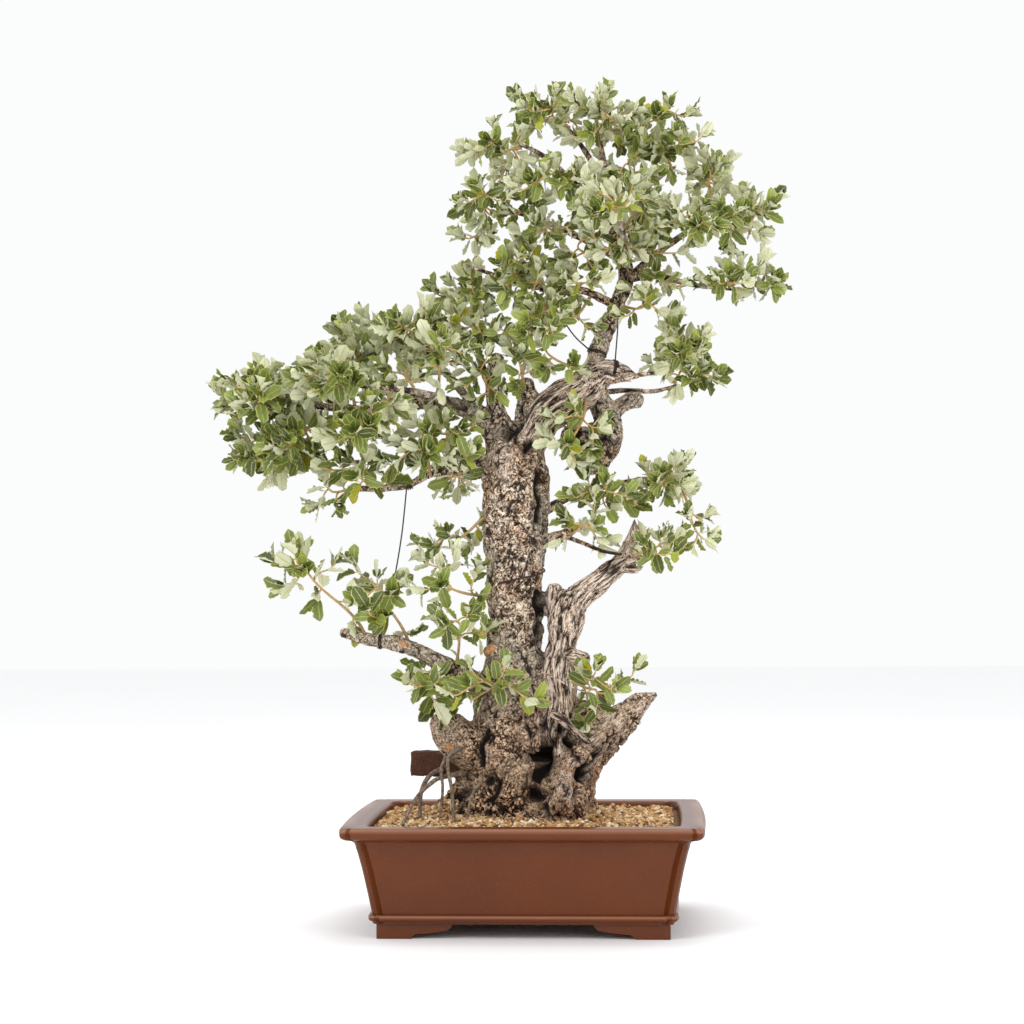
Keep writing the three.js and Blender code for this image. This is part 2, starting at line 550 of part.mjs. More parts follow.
// The cluster's closed body: blades round the bud, and under it the shoot down to its start
function clusterSolid(start, centre, axis, slots) {
  const positions = [];
  const faces = [];
  const put = (p) => positions.push(p.x, p.y, p.z) / 3 - 1;
  const bud = put(centre.clone().addScaledVector(axis, LEAF_THICK));
  const valleys = slots.map((slot) => put(slot.valley));
  const footOf = (i) => Math.floor((i * SHOOT_FACES) / slots.length);
  const foot = Array.from({ length: SHOOT_FACES }, (_, k) => put(start.clone().add(
    slots[Math.ceil((k * slots.length) / SHOOT_FACES)].valley.clone().sub(centre)
      .multiplyScalar(SHOOT_TAPER))));
  faces.push(foot[0], foot[2], foot[1]);
  slots.forEach((slot, i) => {
    const j = (i + 1) % slots.length;
    faces.push(foot[footOf(i)], valleys[j], valleys[i]);
    if (footOf(i) !== footOf(j)) faces.push(foot[footOf(i)], foot[footOf(j)], valleys[j]);
    if (!slot.outline) {
      faces.push(bud, valleys[i], valleys[j]);
      return;
    }
    const outline = slot.outline.map(put);
    const over = put(slot.over);
    const under = put(slot.under);
    const upper = [bud, valleys[i], ...outline, valleys[j]];
    upper.forEach((a, k) => faces.push(over, a, upper[(k + 1) % upper.length]));
    const lower = [valleys[i], ...outline, valleys[j]];
    lower.forEach((a, k) => faces.push(under, lower[(k + 1) % lower.length], a));
  });
  return solidOf(meshOf(positions, faces));
}

// Points already taken by leaves and twigs, so that nothing new grows through them
const LEAF_REACH = 8.5;
const OWN_LEAF_REACH = 6.5;
const TWIG_REACH = 8;
const taken = [];
function isFree(points, owner, reach, ownReach) {
  return points.every((p) => taken.every((q) =>
    p.distanceTo(q.place) > (q.owner === owner ? ownReach : reach)));
}
function take(points, owner) {
  points.forEach((place) => taken.push({ place, owner }));
}
function samplesOf(slot) {
  const foot = slot.outline[0].clone().add(slot.outline.at(-1)).multiplyScalar(0.5);
  const tip = slot.outline[BLADE_TIP];
  const middle = slot.over;
  return [foot, middle, tip, middle.clone().add(tip).multiplyScalar(0.5), ...slot.outline];
}

// The curve of a spray's main twig, from inside its limb to the middle of its foliage
function mainTwig(limbName, share, middle) {
  const root = courseOf(limbName).getPoint(share);
  const end = new THREE.Vector3(...middle);
  const bend = root.clone().lerp(end, 0.5);
  bend.z -= TWIG_SAG * root.distanceTo(end);
  return new THREE.CatmullRomCurve3([root, bend, end], false, "centripetal");
}

// A value drawn evenly between two bounds
function between(draw, [low, high]) {
  return low + (high - low) * draw();
}

// Where a shoot leaves the main twig, bends and ends, for the place of its cluster in the spray
function shootPath(draw, stem, place, [, , middle, reach]) {
  const angle = (place + between(draw, SHOOT_SPREAD)) * 2 * Math.PI;
  const out = between(draw, SHOOT_OUT);
  const end = new THREE.Vector3(...middle).add(new THREE.Vector3(
    out * Math.cos(angle) * reach[0],
    out * Math.sin(angle) * reach[1],
    between(draw, SHOOT_LIFT) * reach[2]));
  const start = stem.getPoint(between(draw, SHOOT_START));
  const elbow = start.clone().lerp(end, 0.55);
  elbow.z -= SHOOT_SAG * start.distanceTo(end);
  return { start, elbow, end };
}

// One spray: its main twig, and its clusters wherever a shoot and three blades or more find room
function growSpray(index, woodWithGap) {
  const [limbName, share, middle, , clusters] = SPRAYS[index];
  const draw = seededDraw(1000 + index * 37);
  const owner = sprayName(index);
  const stem = mainTwig(limbName, share, middle);
  const solids = [loft(ringsAlong(stem, 2, TWIG_FACES,
    (t) => TWIG_RADIUS * THREE.MathUtils.lerp(TWIG_FLARE, 1, t)))];
  const facing = draw();
  for (let attempt = 0; attempt < MOST_ATTEMPTS && solids.length <= clusters; attempt++) {
    const place = facing + (solids.length - 1) / clusters;
    const { start, elbow, end } = shootPath(draw, stem, place, SPRAYS[index]);
    const axis = end.clone().sub(elbow).normalize().addScaledVector(UPWARD, LIGHT_PULL).normalize();
    const turn = draw() * 2 * Math.PI;
    const blades = Array.from({ length: CLUSTER_SLOTS }, () => ({
      length: LEAF_LENGTH * between(draw, BLADE_SIZE),
      rise: between(draw, BLADE_RISE),
      twist: between(draw, BLADE_TWIST),
      curl: between(draw, BLADE_CURL),
    }));
    const shoot = [
      start.clone().lerp(elbow, 0.7), elbow, elbow.clone().lerp(end, 0.5), end,
    ];
    if (!isFree(shoot, owner, TWIG_REACH, 0)) continue;
    const kept = clusterPlaces(end, axis, turn, blades).map((slot, i) =>
      (isFree(samplesOf(slot), owner, LEAF_REACH, OWN_LEAF_REACH) ? blades[i] : null));
    if (kept.filter(Boolean).length < FEWEST_BLADES) continue;
    const slots = clusterPlaces(end, axis, turn, kept);
    slots.filter((slot) => slot.outline).forEach((slot) => take(samplesOf(slot), owner));
    take(shoot, owner);
    solids.push(clusterSolid(start, end, axis, slots));
  }
  return mainBody(joined(solids).subtract(woodWithGap));
}

function sprayName(index) {
  return "spray_" + String(index + 1).padStart(2, "0");
}

function wirePath(points) {
  return new THREE.CatmullRomCurve3(points.map((p) => new THREE.Vector3(...p)));
}

function wire(points) {
  const section = new THREE.Shape().absarc(0, 0, WIRE_RADIUS, 0, 2 * Math.PI);
  return new THREE.ExtrudeGeometry(section, {
    extrudePath: wirePath(points), steps: 5, curveSegments: 5, bevelEnabled: false,
  });
}

const plant = new THREE.Group();
function addNode(name, solid, colour, roughness) {
  const material = new THREE.MeshStandardMaterial({ color: colour, roughness, metalness: 0 });
  const mesh = new THREE.Mesh(geometryOf(solid), material);
  mesh.name = name;
  plant.add(mesh);
}

const wood = mainBody(woodyBody(0));
const woodWithGap = woodyBody(SEAT_GAP);
addNode("pot", pot(), COLOURS.clay, 0.6);
addNode("soil", soil(woodWithGap), COLOURS.grit, 0.95);
addNode("trunk", wood, COLOURS.bark, 0.9);
for (const [name, points] of Object.entries(WIRES)) {
  take(wirePath(points).getPoints(24), name);
  addNode(name, mainBody(solidOf(wire(points)).subtract(woodWithGap)), COLOURS.wire, 0.6);
}
// Every main twig takes its place before any leaf does
SPRAYS.forEach(([limbName, share, middle], index) =>
  take(mainTwig(limbName, share, middle).getPoints(10), sprayName(index)));
SPRAYS.forEach((_, index) =>
  addNode(sprayName(index), growSpray(index, woodWithGap), COLOURS.leaf, 0.5));

// The origin is the bottom centre of the whole plant's box
const box = new THREE.Box3().setFromObject(plant);
plant.position.set(-(box.min.x + box.max.x) / 2, -(box.min.y + box.max.y) / 2, -box.min.z);
const holmOak = new THREE.Group();
holmOak.add(plant);

export default holmOak;
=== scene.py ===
"""Finishes and fine pieces of a holm oak bonsai in its clay pot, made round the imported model.

All shapes are worked out in millimetres, measured from the middle of the pot's underside with +Z up
and the pot's front towards -Y, and are set into the frame's own place when a piece is made.
"""
import math

import bmesh
import bpy
import numpy as np
from bpy.props import FloatProperty, FloatVectorProperty, IntProperty, PointerProperty
from mathutils import Matrix, Vector, noise
from mathutils.bvhtree import BVHTree


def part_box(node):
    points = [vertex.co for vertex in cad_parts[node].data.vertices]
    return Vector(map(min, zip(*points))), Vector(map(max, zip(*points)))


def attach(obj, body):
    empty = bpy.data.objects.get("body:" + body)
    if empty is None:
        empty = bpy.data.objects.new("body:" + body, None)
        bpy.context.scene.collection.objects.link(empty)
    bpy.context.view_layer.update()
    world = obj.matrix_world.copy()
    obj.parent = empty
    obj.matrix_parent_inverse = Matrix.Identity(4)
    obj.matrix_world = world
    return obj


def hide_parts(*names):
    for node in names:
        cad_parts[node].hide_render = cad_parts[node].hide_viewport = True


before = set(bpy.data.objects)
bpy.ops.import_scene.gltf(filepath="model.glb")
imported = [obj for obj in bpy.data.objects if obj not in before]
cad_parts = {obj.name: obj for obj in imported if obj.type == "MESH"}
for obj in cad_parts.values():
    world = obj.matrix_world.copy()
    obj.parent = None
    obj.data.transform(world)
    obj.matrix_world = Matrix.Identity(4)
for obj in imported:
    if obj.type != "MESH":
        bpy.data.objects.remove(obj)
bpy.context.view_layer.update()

bl_info = {
    "name": "Holm oak bonsai",
    "version": (1, 0, 0),
    "blender": (4, 5, 0),
    "location": "3D View > Sidebar > Bonsai",
    "description": "Makes the wood, leaves, soil, pot and wires of a potted holm oak",
    "category": "Object",
}

MM = 0.001
POT_LOW, POT_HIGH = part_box("pot")
POT_MIDDLE = np.array([
    (POT_LOW.x + POT_HIGH.x) / 2 / MM,
    (POT_LOW.y + POT_HIGH.y) / 2 / MM,
    POT_LOW.z / MM,
])
POT_HEIGHT = (POT_HIGH.z - POT_LOW.z) / MM
POT_DEPTH = (POT_HIGH.y - POT_LOW.y) / MM
SPRAY_NODES = sorted(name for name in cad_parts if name.startswith("spray"))

# The wood. Each limb has its kind of surface and its course from root to end as x, y, z and radius.
HEAVY_LIMBS = {
    "bole": ("bark", [
        (-2, 5, 84, 52), (-8, 5, 128, 64), (-14, 5, 172, 61), (-18, 5, 220, 53), (-20, 5, 270, 45),
        (-17, 5, 318, 36), (-15, 5, 360, 33), (-15, 5, 416, 35), (-14, 5, 465, 39), (-13, 5, 508, 42),
        (-13, 5, 545, 41), (-12, 5, 576, 33), (-10, 5, 592, 25)]),
    "shaft": ("bark", [(-7, 0, 560, 24), (2, 0, 612, 16), (4, 0, 636, 13.5), (1, 2, 658, 10)]),
    "left_fork": ("bark", [
        (-22, 8, 548, 26), (-39, 15, 595, 15), (-56, 20, 618, 12), (-82, 25, 630, 11),
        (-120, 25, 637, 10.5), (-157, 20, 633, 8.6), (-193, 10, 627, 6.8), (-240, 0, 630, 5.2),
        (-300, -8, 642, 4), (-345, -10, 652, 2)]),
    "right_limb": ("dead", [
        (-6, 2, 566, 22), (12, 0, 600, 24), (30, -2, 622, 26), (50, -4, 635, 26), (72, -2, 649, 24),
        (90, 2, 664, 17)]),
    "jin_top": ("dead", [
        (70, -2, 662, 15), (91, 0, 675, 11), (110, 4, 674, 9), (123, 8, 671, 7), (137, 11, 665, 1.5)]),
    "jin_top_shard": ("dead", [(88, -8, 668, 7), (108, -9, 661, 5), (130, -6, 657, 1)]),
    "leader": ("bark", [
        (76, 4, 644, 18), (85, 10, 685, 11.5), (91, 12, 704, 10.4), (100, 14, 723, 9.8),
        (114, 16, 760, 9.8), (124, 16, 784, 10.5), (122, 14, 806, 9.8), (113, 10, 833, 8.6),
        (106, 6, 857, 7.4), (102, 2, 887, 6.1), (98, 0, 924, 4.9), (92, 0, 965, 2.4)]),
    "loop": ("bark", [
        (70, 14, 655, 16), (88, 26, 636, 14), (98, 30, 613, 18), (94, 30, 588, 25), (83, 26, 566, 21),
        (68, 22, 553, 12)]),
    "loop_inner": ("bark", [(64, 26, 604, 18), (62, 24, 582, 20), (70, 22, 562, 15)]),
    "loop_knob": ("bark", [(92, 30, 610, 12), (113, 34, 628, 10), (130, 34, 637, 11), (139, 34, 636, 9.6)]),
    "jin_column": ("dead", [
        (26, -6, 168, 40), (33, -10, 215, 31), (39, -10, 262, 23), (39, -8, 312, 20),
        (43, -6, 343, 18), (48, -4, 369, 24), (54, -2, 392, 20)]),
    "jin_left_tip": ("dead", [(39, 0, 356, 14), (34, 0, 391, 12), (33, 0, 407, 9)]),
    "jin_arm": ("dead", [
        (48, -4, 374, 20), (70, -4, 400, 16), (92, -4, 417, 14), (114, -2, 434, 12), (133, 2, 442, 8),
        (148, 4, 440, 1.5)]),
    "jin_arm_tip": ("dead", [(120, -4, 430, 7), (134, -6, 428, 5), (143, -7, 432, 1.2)]),
    "horn": ("weathered", [(104, -2, 424, 12), (121, 0, 448, 9.5), (131, 2, 472, 7), (132, 2, 490, 1.2)]),
    "jin_stub": ("dead", [(44, -10, 326, 14), (60, -18, 322, 11), (73, -22, 320, 8)]),
    "stub_web": ("weathered", [(50, -4, 240, 20), (68, -4, 254, 17), (84, -4, 258, 13)]),
    "base_stub": ("weathered", [
        (20, -8, 140, 52), (44, -8, 172, 42), (66, -8, 203, 33), (93, -8, 227, 27), (117, -6, 249, 20),
        (137, -4, 266, 13), (157, -2, 276, 3)]),
    "front_knob": ("weathered", [(24, -26, 128, 30), (38, -50, 146, 30), (44, -66, 166, 25)]),
    "middle_knob": ("weathered", [(50, -14, 180, 24), (68, -46, 206, 14)]),
    "torn_ridge": ("dead", [(30, -46, 256, 4), (44, -56, 250, 6), (60, -56, 234, 6), (76, -46, 220, 4)]),
    "brown_lobe": ("weathered", [(6, -36, 256, 12), (4, -50, 234, 14), (8, -52, 212, 9)]),
    "burl": ("burl", [(-50, 0, 196, 30), (-84, -6, 222, 27), (-98, -10, 236, 24), (-108, -14, 246, 13)]),
    "sawn_root": ("sawn", [(-52, 8, 186, 26), (-80, 11, 190, 21.5), (-144, 12, 192, 21)]),
    "root_mass": ("bark", [(-56, 0, 172, 22), (-80, -2, 158, 17), (-100, -2, 140, 12)]),
    "root_flare_left": ("bark", [(-40, -10, 160, 24), (-66, -26, 142, 17), (-90, -40, 124, 8)]),
    "root_flare_back": ("bark", [(-20, 30, 165, 26), (-40, 62, 140, 18), (-54, 88, 120, 8)]),
    "root_flare_right": ("bark", [(30, 24, 160, 26), (62, 50, 138, 17), (86, 70, 120, 8)]),
    "low_left": ("bark", [
        (-24, 2, 250, 24), (-46, -4, 274, 17), (-63, -12, 291, 13), (-84, -22, 305, 11.5),
        (-109, -31, 319, 10.5), (-131, -38, 331, 9.6), (-158, -42, 341, 9), (-187, -44, 345, 7.8),
        (-221, -46, 354, 6.4)]),
    "middle_right": ("bark", [(0, 0, 452, 9), (20, -4, 464, 6.2), (43, -6, 472, 5.2), (64, -8, 480, 4.2)]),
    "under_left": ("bark", [
        (-26, 8, 566, 13), (-63, 6, 560, 6.6), (-93, 2, 551, 5.4), (-121, -2, 545, 5),
        (-143, -6, 534, 5), (-171, -10, 530, 4.6), (-211, -14, 529, 4.1)]),
    "upper_stub": ("bark", [
        (-22, 10, 590, 15), (-38, 13, 630, 10.5), (-41, 12, 660, 9.6), (-34, 6, 690, 9)]),
    "trunk_stub": ("bark", [(-38, -18, 326, 11), (-44, -34, 331, 8)]),
}
THIN_LIMBS = {
    "root_front": ("root", [
        (-78, -18, 182, 6), (-90, -30, 181, 4.4), (-106, -45, 178, 3.8), (-119, -60, 169, 3.5),
        (-132, -85, 153, 3.2), (-142, -108, 130, 3)]),
    "root_side": ("root", [
        (-100, -2, 188, 5), (-118, -16, 180, 4), (-128, -24, 162, 3.8), (-130, -32, 126, 3.4)]),
    "root_middle": ("root", [
        (-80, -30, 214, 5), (-93, -42, 205, 3.4), (-94, -46, 190, 3), (-90, -50, 170, 3),
        (-86, -56, 126, 3)]),
    "rootlet_low": ("root", [
        (-48, -60, 180, 3), (-60, -66, 166, 2.8), (-66, -70, 150, 2.6), (-70, -74, 124, 2.2)]),
    "rootlet_burl": ("root", [
        (-96, -34, 206, 3), (-102, -44, 190, 2.6), (-100, -50, 166, 2.6), (-104, -54, 124, 2.2)]),
    "left_upper": ("bark", [
        (-60, 20, 622, 9), (-92, 38, 664, 7), (-130, 52, 700, 5.4), (-176, 58, 722, 2)]),
    "left_front": ("bark", [
        (-70, 22, 626, 8), (-108, -30, 640, 6.4), (-165, -72, 648, 5), (-225, -88, 650, 2)]),
    "left_back": ("bark", [
        (-100, 26, 634, 8), (-140, 76, 648, 6), (-195, 104, 656, 4.6), (-250, 106, 650, 2)]),
    "left_low": ("bark", [(-180, 14, 628, 6.5), (-226, 14, 596, 5), (-276, 6, 574, 4), (-318, 0, 560, 2)]),
    "rise": ("bark", [(-38, 10, 644, 8), (-58, 28, 690, 6.4), (-64, 32, 738, 5), (-58, 28, 786, 2)]),
    "inner_left": ("bark", [
        (112, 15, 752, 8), (70, -2, 770, 6), (23, -12, 772, 5), (-28, -16, 786, 4.2), (-72, -10, 802, 2)]),
    "crown_left": ("bark", [
        (120, 13, 808, 8), (74, 30, 836, 6.2), (24, 32, 860, 5), (-26, 22, 876, 4.2), (-62, 10, 884, 2)]),
    "crown_upper_left": ("bark", [
        (106, 6, 857, 7), (62, -20, 898, 5.6), (22, -22, 934, 4.6), (-16, -12, 954, 2)]),
    "crown_right": ("bark", [
        (124, 15, 780, 9), (150, 14, 806, 7), (192, 8, 836, 5.6), (238, 0, 858, 4.4), (276, 0, 866, 2)]),
    "crown_low_right": ("bark", [
        (130, 14, 786, 7), (164, 2, 786, 5.4), (204, -10, 774, 4.4), (256, -16, 766, 2)]),
    "crown_front": ("bark", [(120, 14, 794, 7), (122, -44, 828, 5.6), (112, -96, 856, 2)]),
    "crown_back": ("bark", [(120, 14, 812, 7), (132, 74, 842, 5.6), (128, 116, 868, 2)]),
    "crown_upper_right": ("bark", [(105, 5, 862, 7), (150, 10, 898, 5.4), (186, 6, 922, 2)]),
    "crown_top": ("bark", [(100, 1, 900, 6), (74, 8, 944, 4.6), (52, 8, 976, 2)]),
    "right_twin_high": ("bark", [
        (88, 0, 655, 6), (116, -12, 659, 4.4), (145, -16, 665, 3.8), (181, -18, 668, 2)]),
    "right_twin_low": ("bark", [
        (82, 22, 645, 6), (118, 42, 650, 4.4), (161, 40, 649, 3.8), (186, 36, 656, 2)]),
    "mid_back": ("bark", [
        (0, 24, 486, 11), (46, 46, 516, 7), (100, 46, 532, 5.4), (150, 34, 540, 4.2), (186, 24, 538, 2)]),
    "fallen_twig": ("dead", [
        (8, -27, 309, 1.3), (30, -46, 301, 1.3), (60, -48, 286, 1.2), (84, -38, 277, 0.8)]),
    "mid_twig": ("bark", [(44, -7, 470, 4), (66, -20, 462, 3.6), (96, -28, 450, 3.2), (136, -24, 444, 2)]),
}
KINDS = ("bark", "dead", "weathered", "burl", "sawn", "root")


def linear(red, green, blue):
    """A screen colour of 0 to 255 as the linear light that materials hold."""
    def one(value):
        value /= 255
        return value / 12.92 if value <= 0.04045 else ((value + 0.055) / 1.055) ** 2.4
    return (one(red), one(green), one(blue))


# Meshes

def cut_faces(count_around, rings, closed_ends=True):
    """Quads between rings of equally many points, with an end face at each end."""
    index = np.arange(rings * count_around).reshape(rings, count_around)
    following = np.roll(index, -1, axis=1)
    sides = np.stack([index[:-1], following[:-1], following[1:], index[1:]], axis=-1).reshape(-1, 4)
    groups = [sides]
    if closed_ends:
        groups.append(np.array([index[0][::-1], index[-1]]))
    return groups


def fill_mesh(mesh, points, groups):
    """Puts points, in metres, and groups of equally sided faces into a mesh."""
    mesh.vertices.add(len(points))
    mesh.vertices.foreach_set("co", np.asarray(points, np.float32).ravel())
    corners = np.concatenate([np.asarray(g, np.int32).ravel() for g in groups])
    sizes = np.concatenate([np.full(len(g), np.asarray(g).shape[1], np.int32) for g in groups])
    mesh.loops.add(len(corners))
    mesh.loops.foreach_set("vertex_index", corners)
    mesh.polygons.add(len(sizes))
    mesh.polygons.foreach_set("loop_start", np.concatenate([[0], np.cumsum(sizes)[:-1]]).astype(np.int32))
    mesh.update(calc_edges=True)
    mesh.validate()


def in_frame(points):
    """Points in millimetres from the pot's middle, as metres in the frame."""
    return (np.asarray(points, float) + POT_MIDDLE) * MM


def from_frame(points):
    """Points in metres in the frame, as millimetres from the pot's middle."""
    return np.asarray(points, float) / MM - POT_MIDDLE


def corner_places(mesh):
    """The corners of a mesh, in millimetres from the pot's middle."""
    flat = np.zeros(len(mesh.vertices) * 3)
    mesh.vertices.foreach_get("co", flat)
    return from_frame(flat.reshape(-1, 3))


def new_object(name, points, groups):
    """A new piece from points in millimetres and groups of equally sided faces."""
    mesh = bpy.data.meshes.new(name)
    fill_mesh(mesh, in_frame(points), groups)
    made = bpy.data.objects.new(name, mesh)
    bpy.context.scene.collection.objects.link(made)
    return made


def discard(piece):
    """Removes a piece that was only needed to make another."""
    mesh = piece.data
    bpy.data.objects.remove(piece)
    bpy.data.meshes.remove(mesh)


def finish_piece(made, finishes, stands_for=(), face_finishes=None):
    """Gives a piece its materials, smooth faces and body, and hides the nodes it stands for."""
    for finish in finishes:
        made.data.materials.append(finish)
    if face_finishes is not None:
        made.data.polygons.foreach_set("material_index", face_finishes.astype(np.int32))
    made.data.shade_smooth()
    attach(made, "root")
    if stands_for:
        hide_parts(*stands_for)
    return made


def store(mesh, name, numbers):
    """Keeps a number or a vector for each corner of a mesh, for its material to read."""
    numbers = np.asarray(numbers, np.float32)
    kind, key = ("FLOAT_VECTOR", "vector") if numbers.ndim == 2 else ("FLOAT", "value")
    mesh.attributes.new(name, kind, "POINT").data.foreach_set(key, numbers.ravel())


def merged(parts):
    """One list of points and of face groups from several (points, groups) pairs."""
    points, by_size, start = [], {}, 0
    for part_points, groups in parts:
        points.append(part_points)
        for group in groups:
            group = np.asarray(group)
            by_size.setdefault(group.shape[1], []).append(group + start)
        start += len(part_points)
    return np.concatenate(points), [np.concatenate(found) for found in by_size.values()]


def run_along(path):
    """How far along a path each of its points lies."""
    return np.concatenate([[0], np.cumsum(np.linalg.norm(np.diff(path, axis=0), axis=1))])


def smooth_path(course, step):
    """Points about a step apart on a smooth curve through a course, with its radius at each."""
    course = np.asarray(course, float)
    points, radii = course[:, :3], course[:, 3]
    ends = np.vstack([2 * points[0] - points[1], points, 2 * points[-1] - points[-2]])
    places, widths = [], []
    for i in range(len(points) - 1):
        a, b, c, d = ends[i:i + 4]
        spans = [max(np.linalg.norm(q - p) ** 0.5, 1e-4) for p, q in ((a, b), (b, c), (c, d))]
        leave = ((b - a) / spans[0] - (c - a) / (spans[0] + spans[1]) + (c - b) / spans[1]) * spans[1]
        reach = ((c - b) / spans[1] - (d - b) / (spans[1] + spans[2]) + (d - c) / spans[2]) * spans[1]
        count = max(2, round(np.linalg.norm(c - b) / step))
        last = i == len(points) - 2
        for t in np.linspace(0, 1, count + 1)[:None if last else -1]:
            places.append((2 * t ** 3 - 3 * t ** 2 + 1) * b + (t ** 3 - 2 * t ** 2 + t) * leave
                          + (3 * t ** 2 - 2 * t ** 3) * c + (t ** 3 - t ** 2) * reach)
            widths.append(radii[i] + (radii[i + 1] - radii[i]) * t)
    return np.array(places), np.array(widths)


def frames_along(path):
    """The tangent and two crossing directions at each point of a path, without sudden turns."""
    tangents = np.gradient(path, axis=0)
    tangents /= np.linalg.norm(tangents, axis=1, keepdims=True)
    side = np.array([0.0, 1.0, 0.0]) if abs(tangents[0][0]) > 0.8 else np.array([1.0, 0.0, 0.0])
    sides = []
    for tangent in tangents:
        side = side - side.dot(tangent) * tangent
        side /= np.linalg.norm(side)
        sides.append(side)
    sides = np.array(sides)
    return tangents, sides, np.cross(tangents, sides)


def tube(path, radii, around, round_end=False):
    """A closed round bar along a path. A rounded end closes over in a low dome."""
    tangents, sides, overs = frames_along(path)
    path, radii = list(path), list(radii)
    if round_end:
        end, size = path[-1], radii[-1]
        for share in (0.5, 0.8, 0.97):
            path.append(end + tangents[-1] * size * share * 0.6)
            radii.append(size * math.sqrt(1 - share ** 2))
        extra = len(path) - len(tangents)
        sides = np.vstack([sides, np.repeat(sides[-1:], extra, axis=0)])
        overs = np.vstack([overs, np.repeat(overs[-1:], extra, axis=0)])
    angles = (np.arange(around) + 0.5) / around * 2 * math.pi
    ring = (np.cos(angles)[None, :, None] * sides[:, None, :]
            + np.sin(angles)[None, :, None] * overs[:, None, :])
    points = np.asarray(path)[:, None, :] + ring * np.asarray(radii)[:, None, None]
    return points.reshape(-1, 3), cut_faces(around, len(path))


# Materials

def add(tree, kind, sockets=None, **settings):
    """A node with its settings, whose sockets take a value or another node's output."""
    made = tree.nodes.new(kind)
    for key, value in settings.items():
        setattr(made, key, value)
    for key, value in (sockets or {}).items():
        join(tree, value, made.inputs[key])
    return made


def join(tree, value, socket):
    """Links a node's output to a socket, or sets the socket to a fixed value."""
    if isinstance(value, bpy.types.Node):
        tree.links.new(value.outputs[0], socket)
    elif isinstance(value, bpy.types.NodeSocket):
        tree.links.new(value, socket)
    elif isinstance(value, tuple) and socket.type == "RGBA":
        socket.default_value = (*value, 1)
    else:
        socket.default_value = value


def ramp(tree, factor, stops):
    """A colour that runs through stops, each a place and a colour."""
    made = add(tree, "ShaderNodeValToRGB", {"Fac": factor})
    elements = made.color_ramp.elements
    while len(elements) < len(stops):
        elements.new(0.5)
    for element, (place, colour) in zip(elements, stops):
        element.position = place
        element.color = (*colour, 1)
    return made


def mix(tree, factor, first, second, way="MIX"):
    """The first colour where the factor is 0 and the second where it is 1."""
    made = add(tree, "ShaderNodeMix", data_type="RGBA", blend_type=way)
    join(tree, factor, made.inputs["Factor"])
    join(tree, first, made.inputs[6])
    join(tree, second, made.inputs[7])
    return made.outputs[2]


def sums(tree, operation, first, second=0.0):
    """A number worked out from one or two others."""
    made = add(tree, "ShaderNodeMath", operation=operation)
    join(tree, first, made.inputs[0])
    join(tree, second, made.inputs[1])
    return made.outputs[0]


def plus(tree, first, second):
    return sums(tree, "ADD", first, second)


def times(tree, first, second):
    return sums(tree, "MULTIPLY", first, second)


def span(tree, value, low, high, first=0.0, last=1.0):
    """A value between low and high spread from first to last, and held beyond them."""
    return add(tree, "ShaderNodeMapRange", {
        "Value": value, "From Min": low, "From Max": high, "To Min": first, "To Max": last}).outputs[0]


def speckle(tree, where, scale, detail=3.0, roughness=0.6):
    """Cloudy noise of 0 to 1."""
    return add(tree, "ShaderNodeTexNoise", {
        "Vector": where, "Scale": scale, "Detail": detail, "Roughness": roughness}).outputs["Fac"]


def cells(tree, where, scale, feature="F1", output="Distance"):
    """Irregular cells: how far off their middles or edges lie, or a colour for each."""
    made = add(tree, "ShaderNodeTexVoronoi", {"Vector": where, "Scale": scale}, feature=feature)
    return made.outputs[output]


def stored(tree, name, output="Fac"):
    """What store() kept on the mesh under a name."""
    return add(tree, "ShaderNodeAttribute", attribute_name=name).outputs[output]


def start_finish(name, fixed):
    """A new material, its tree, its main shader with its fixed values, and the place on the surface."""
    made = bpy.data.materials.new(name)
    made.use_nodes = True
    tree = made.node_tree
    tree.nodes.clear()
    shader = add(tree, "ShaderNodeBsdfPrincipled", fixed)
    add(tree, "ShaderNodeOutputMaterial", {"Surface": shader})
    return made, tree, shader, add(tree, "ShaderNodeTexCoord").outputs["Object"]


def bump(tree, height, strength, distance, before=None):
    """A small relief of the finish alone, over an earlier one if there is one."""
    sockets = {"Height": height, "Strength": strength, "Distance": distance}
    if before is not None:
        sockets["Normal"] = before
    return add(tree, "ShaderNodeBump", sockets).outputs[0]


def clay_finish(settings):
    """Brown unglazed clay, cloudy and finely grained, paler on its edges, partly from rubbing and partly
    from a painted highlight.
    """
    fixed = {"Roughness": 0.28, "Specular IOR Level": 0.3}
    made, tree, shader, where = start_finish("unglazed_clay", fixed)
    cloud = speckle(tree, where, 9.0, 4.0)
    grains = speckle(tree, where, 420.0, 2.0, 0.7)
    colour = mix(tree, span(tree, cloud, 0.3, 0.72), tuple(settings.clay_dark), tuple(settings.clay_light))
    colour = mix(tree, span(tree, grains, 0.58, 0.72, 0.0, 0.25), colour, linear(128, 80, 54))
    colour = mix(tree, span(tree, grains, 0.26, 0.4, 0.4, 0.0), colour, linear(70, 38, 26))
    # Paler clay on the rim's edges and the belt's crest: partly rubbed wear, partly a painted highlight.
    wear_and_highlight = span(tree, stored(tree, "wear_and_highlight"), 0.0, 1.0, 0.0, 0.6)
    colour = mix(tree, wear_and_highlight, colour, linear(182, 130, 106))
    join(tree, colour, shader.inputs["Base Color"])
    normal = bump(tree, grains, 0.2, 0.0003)
    join(tree, bump(tree, speckle(tree, where, 40.0, 2.0), 0.15, 0.001, normal), shader.inputs["Normal"])
    return made


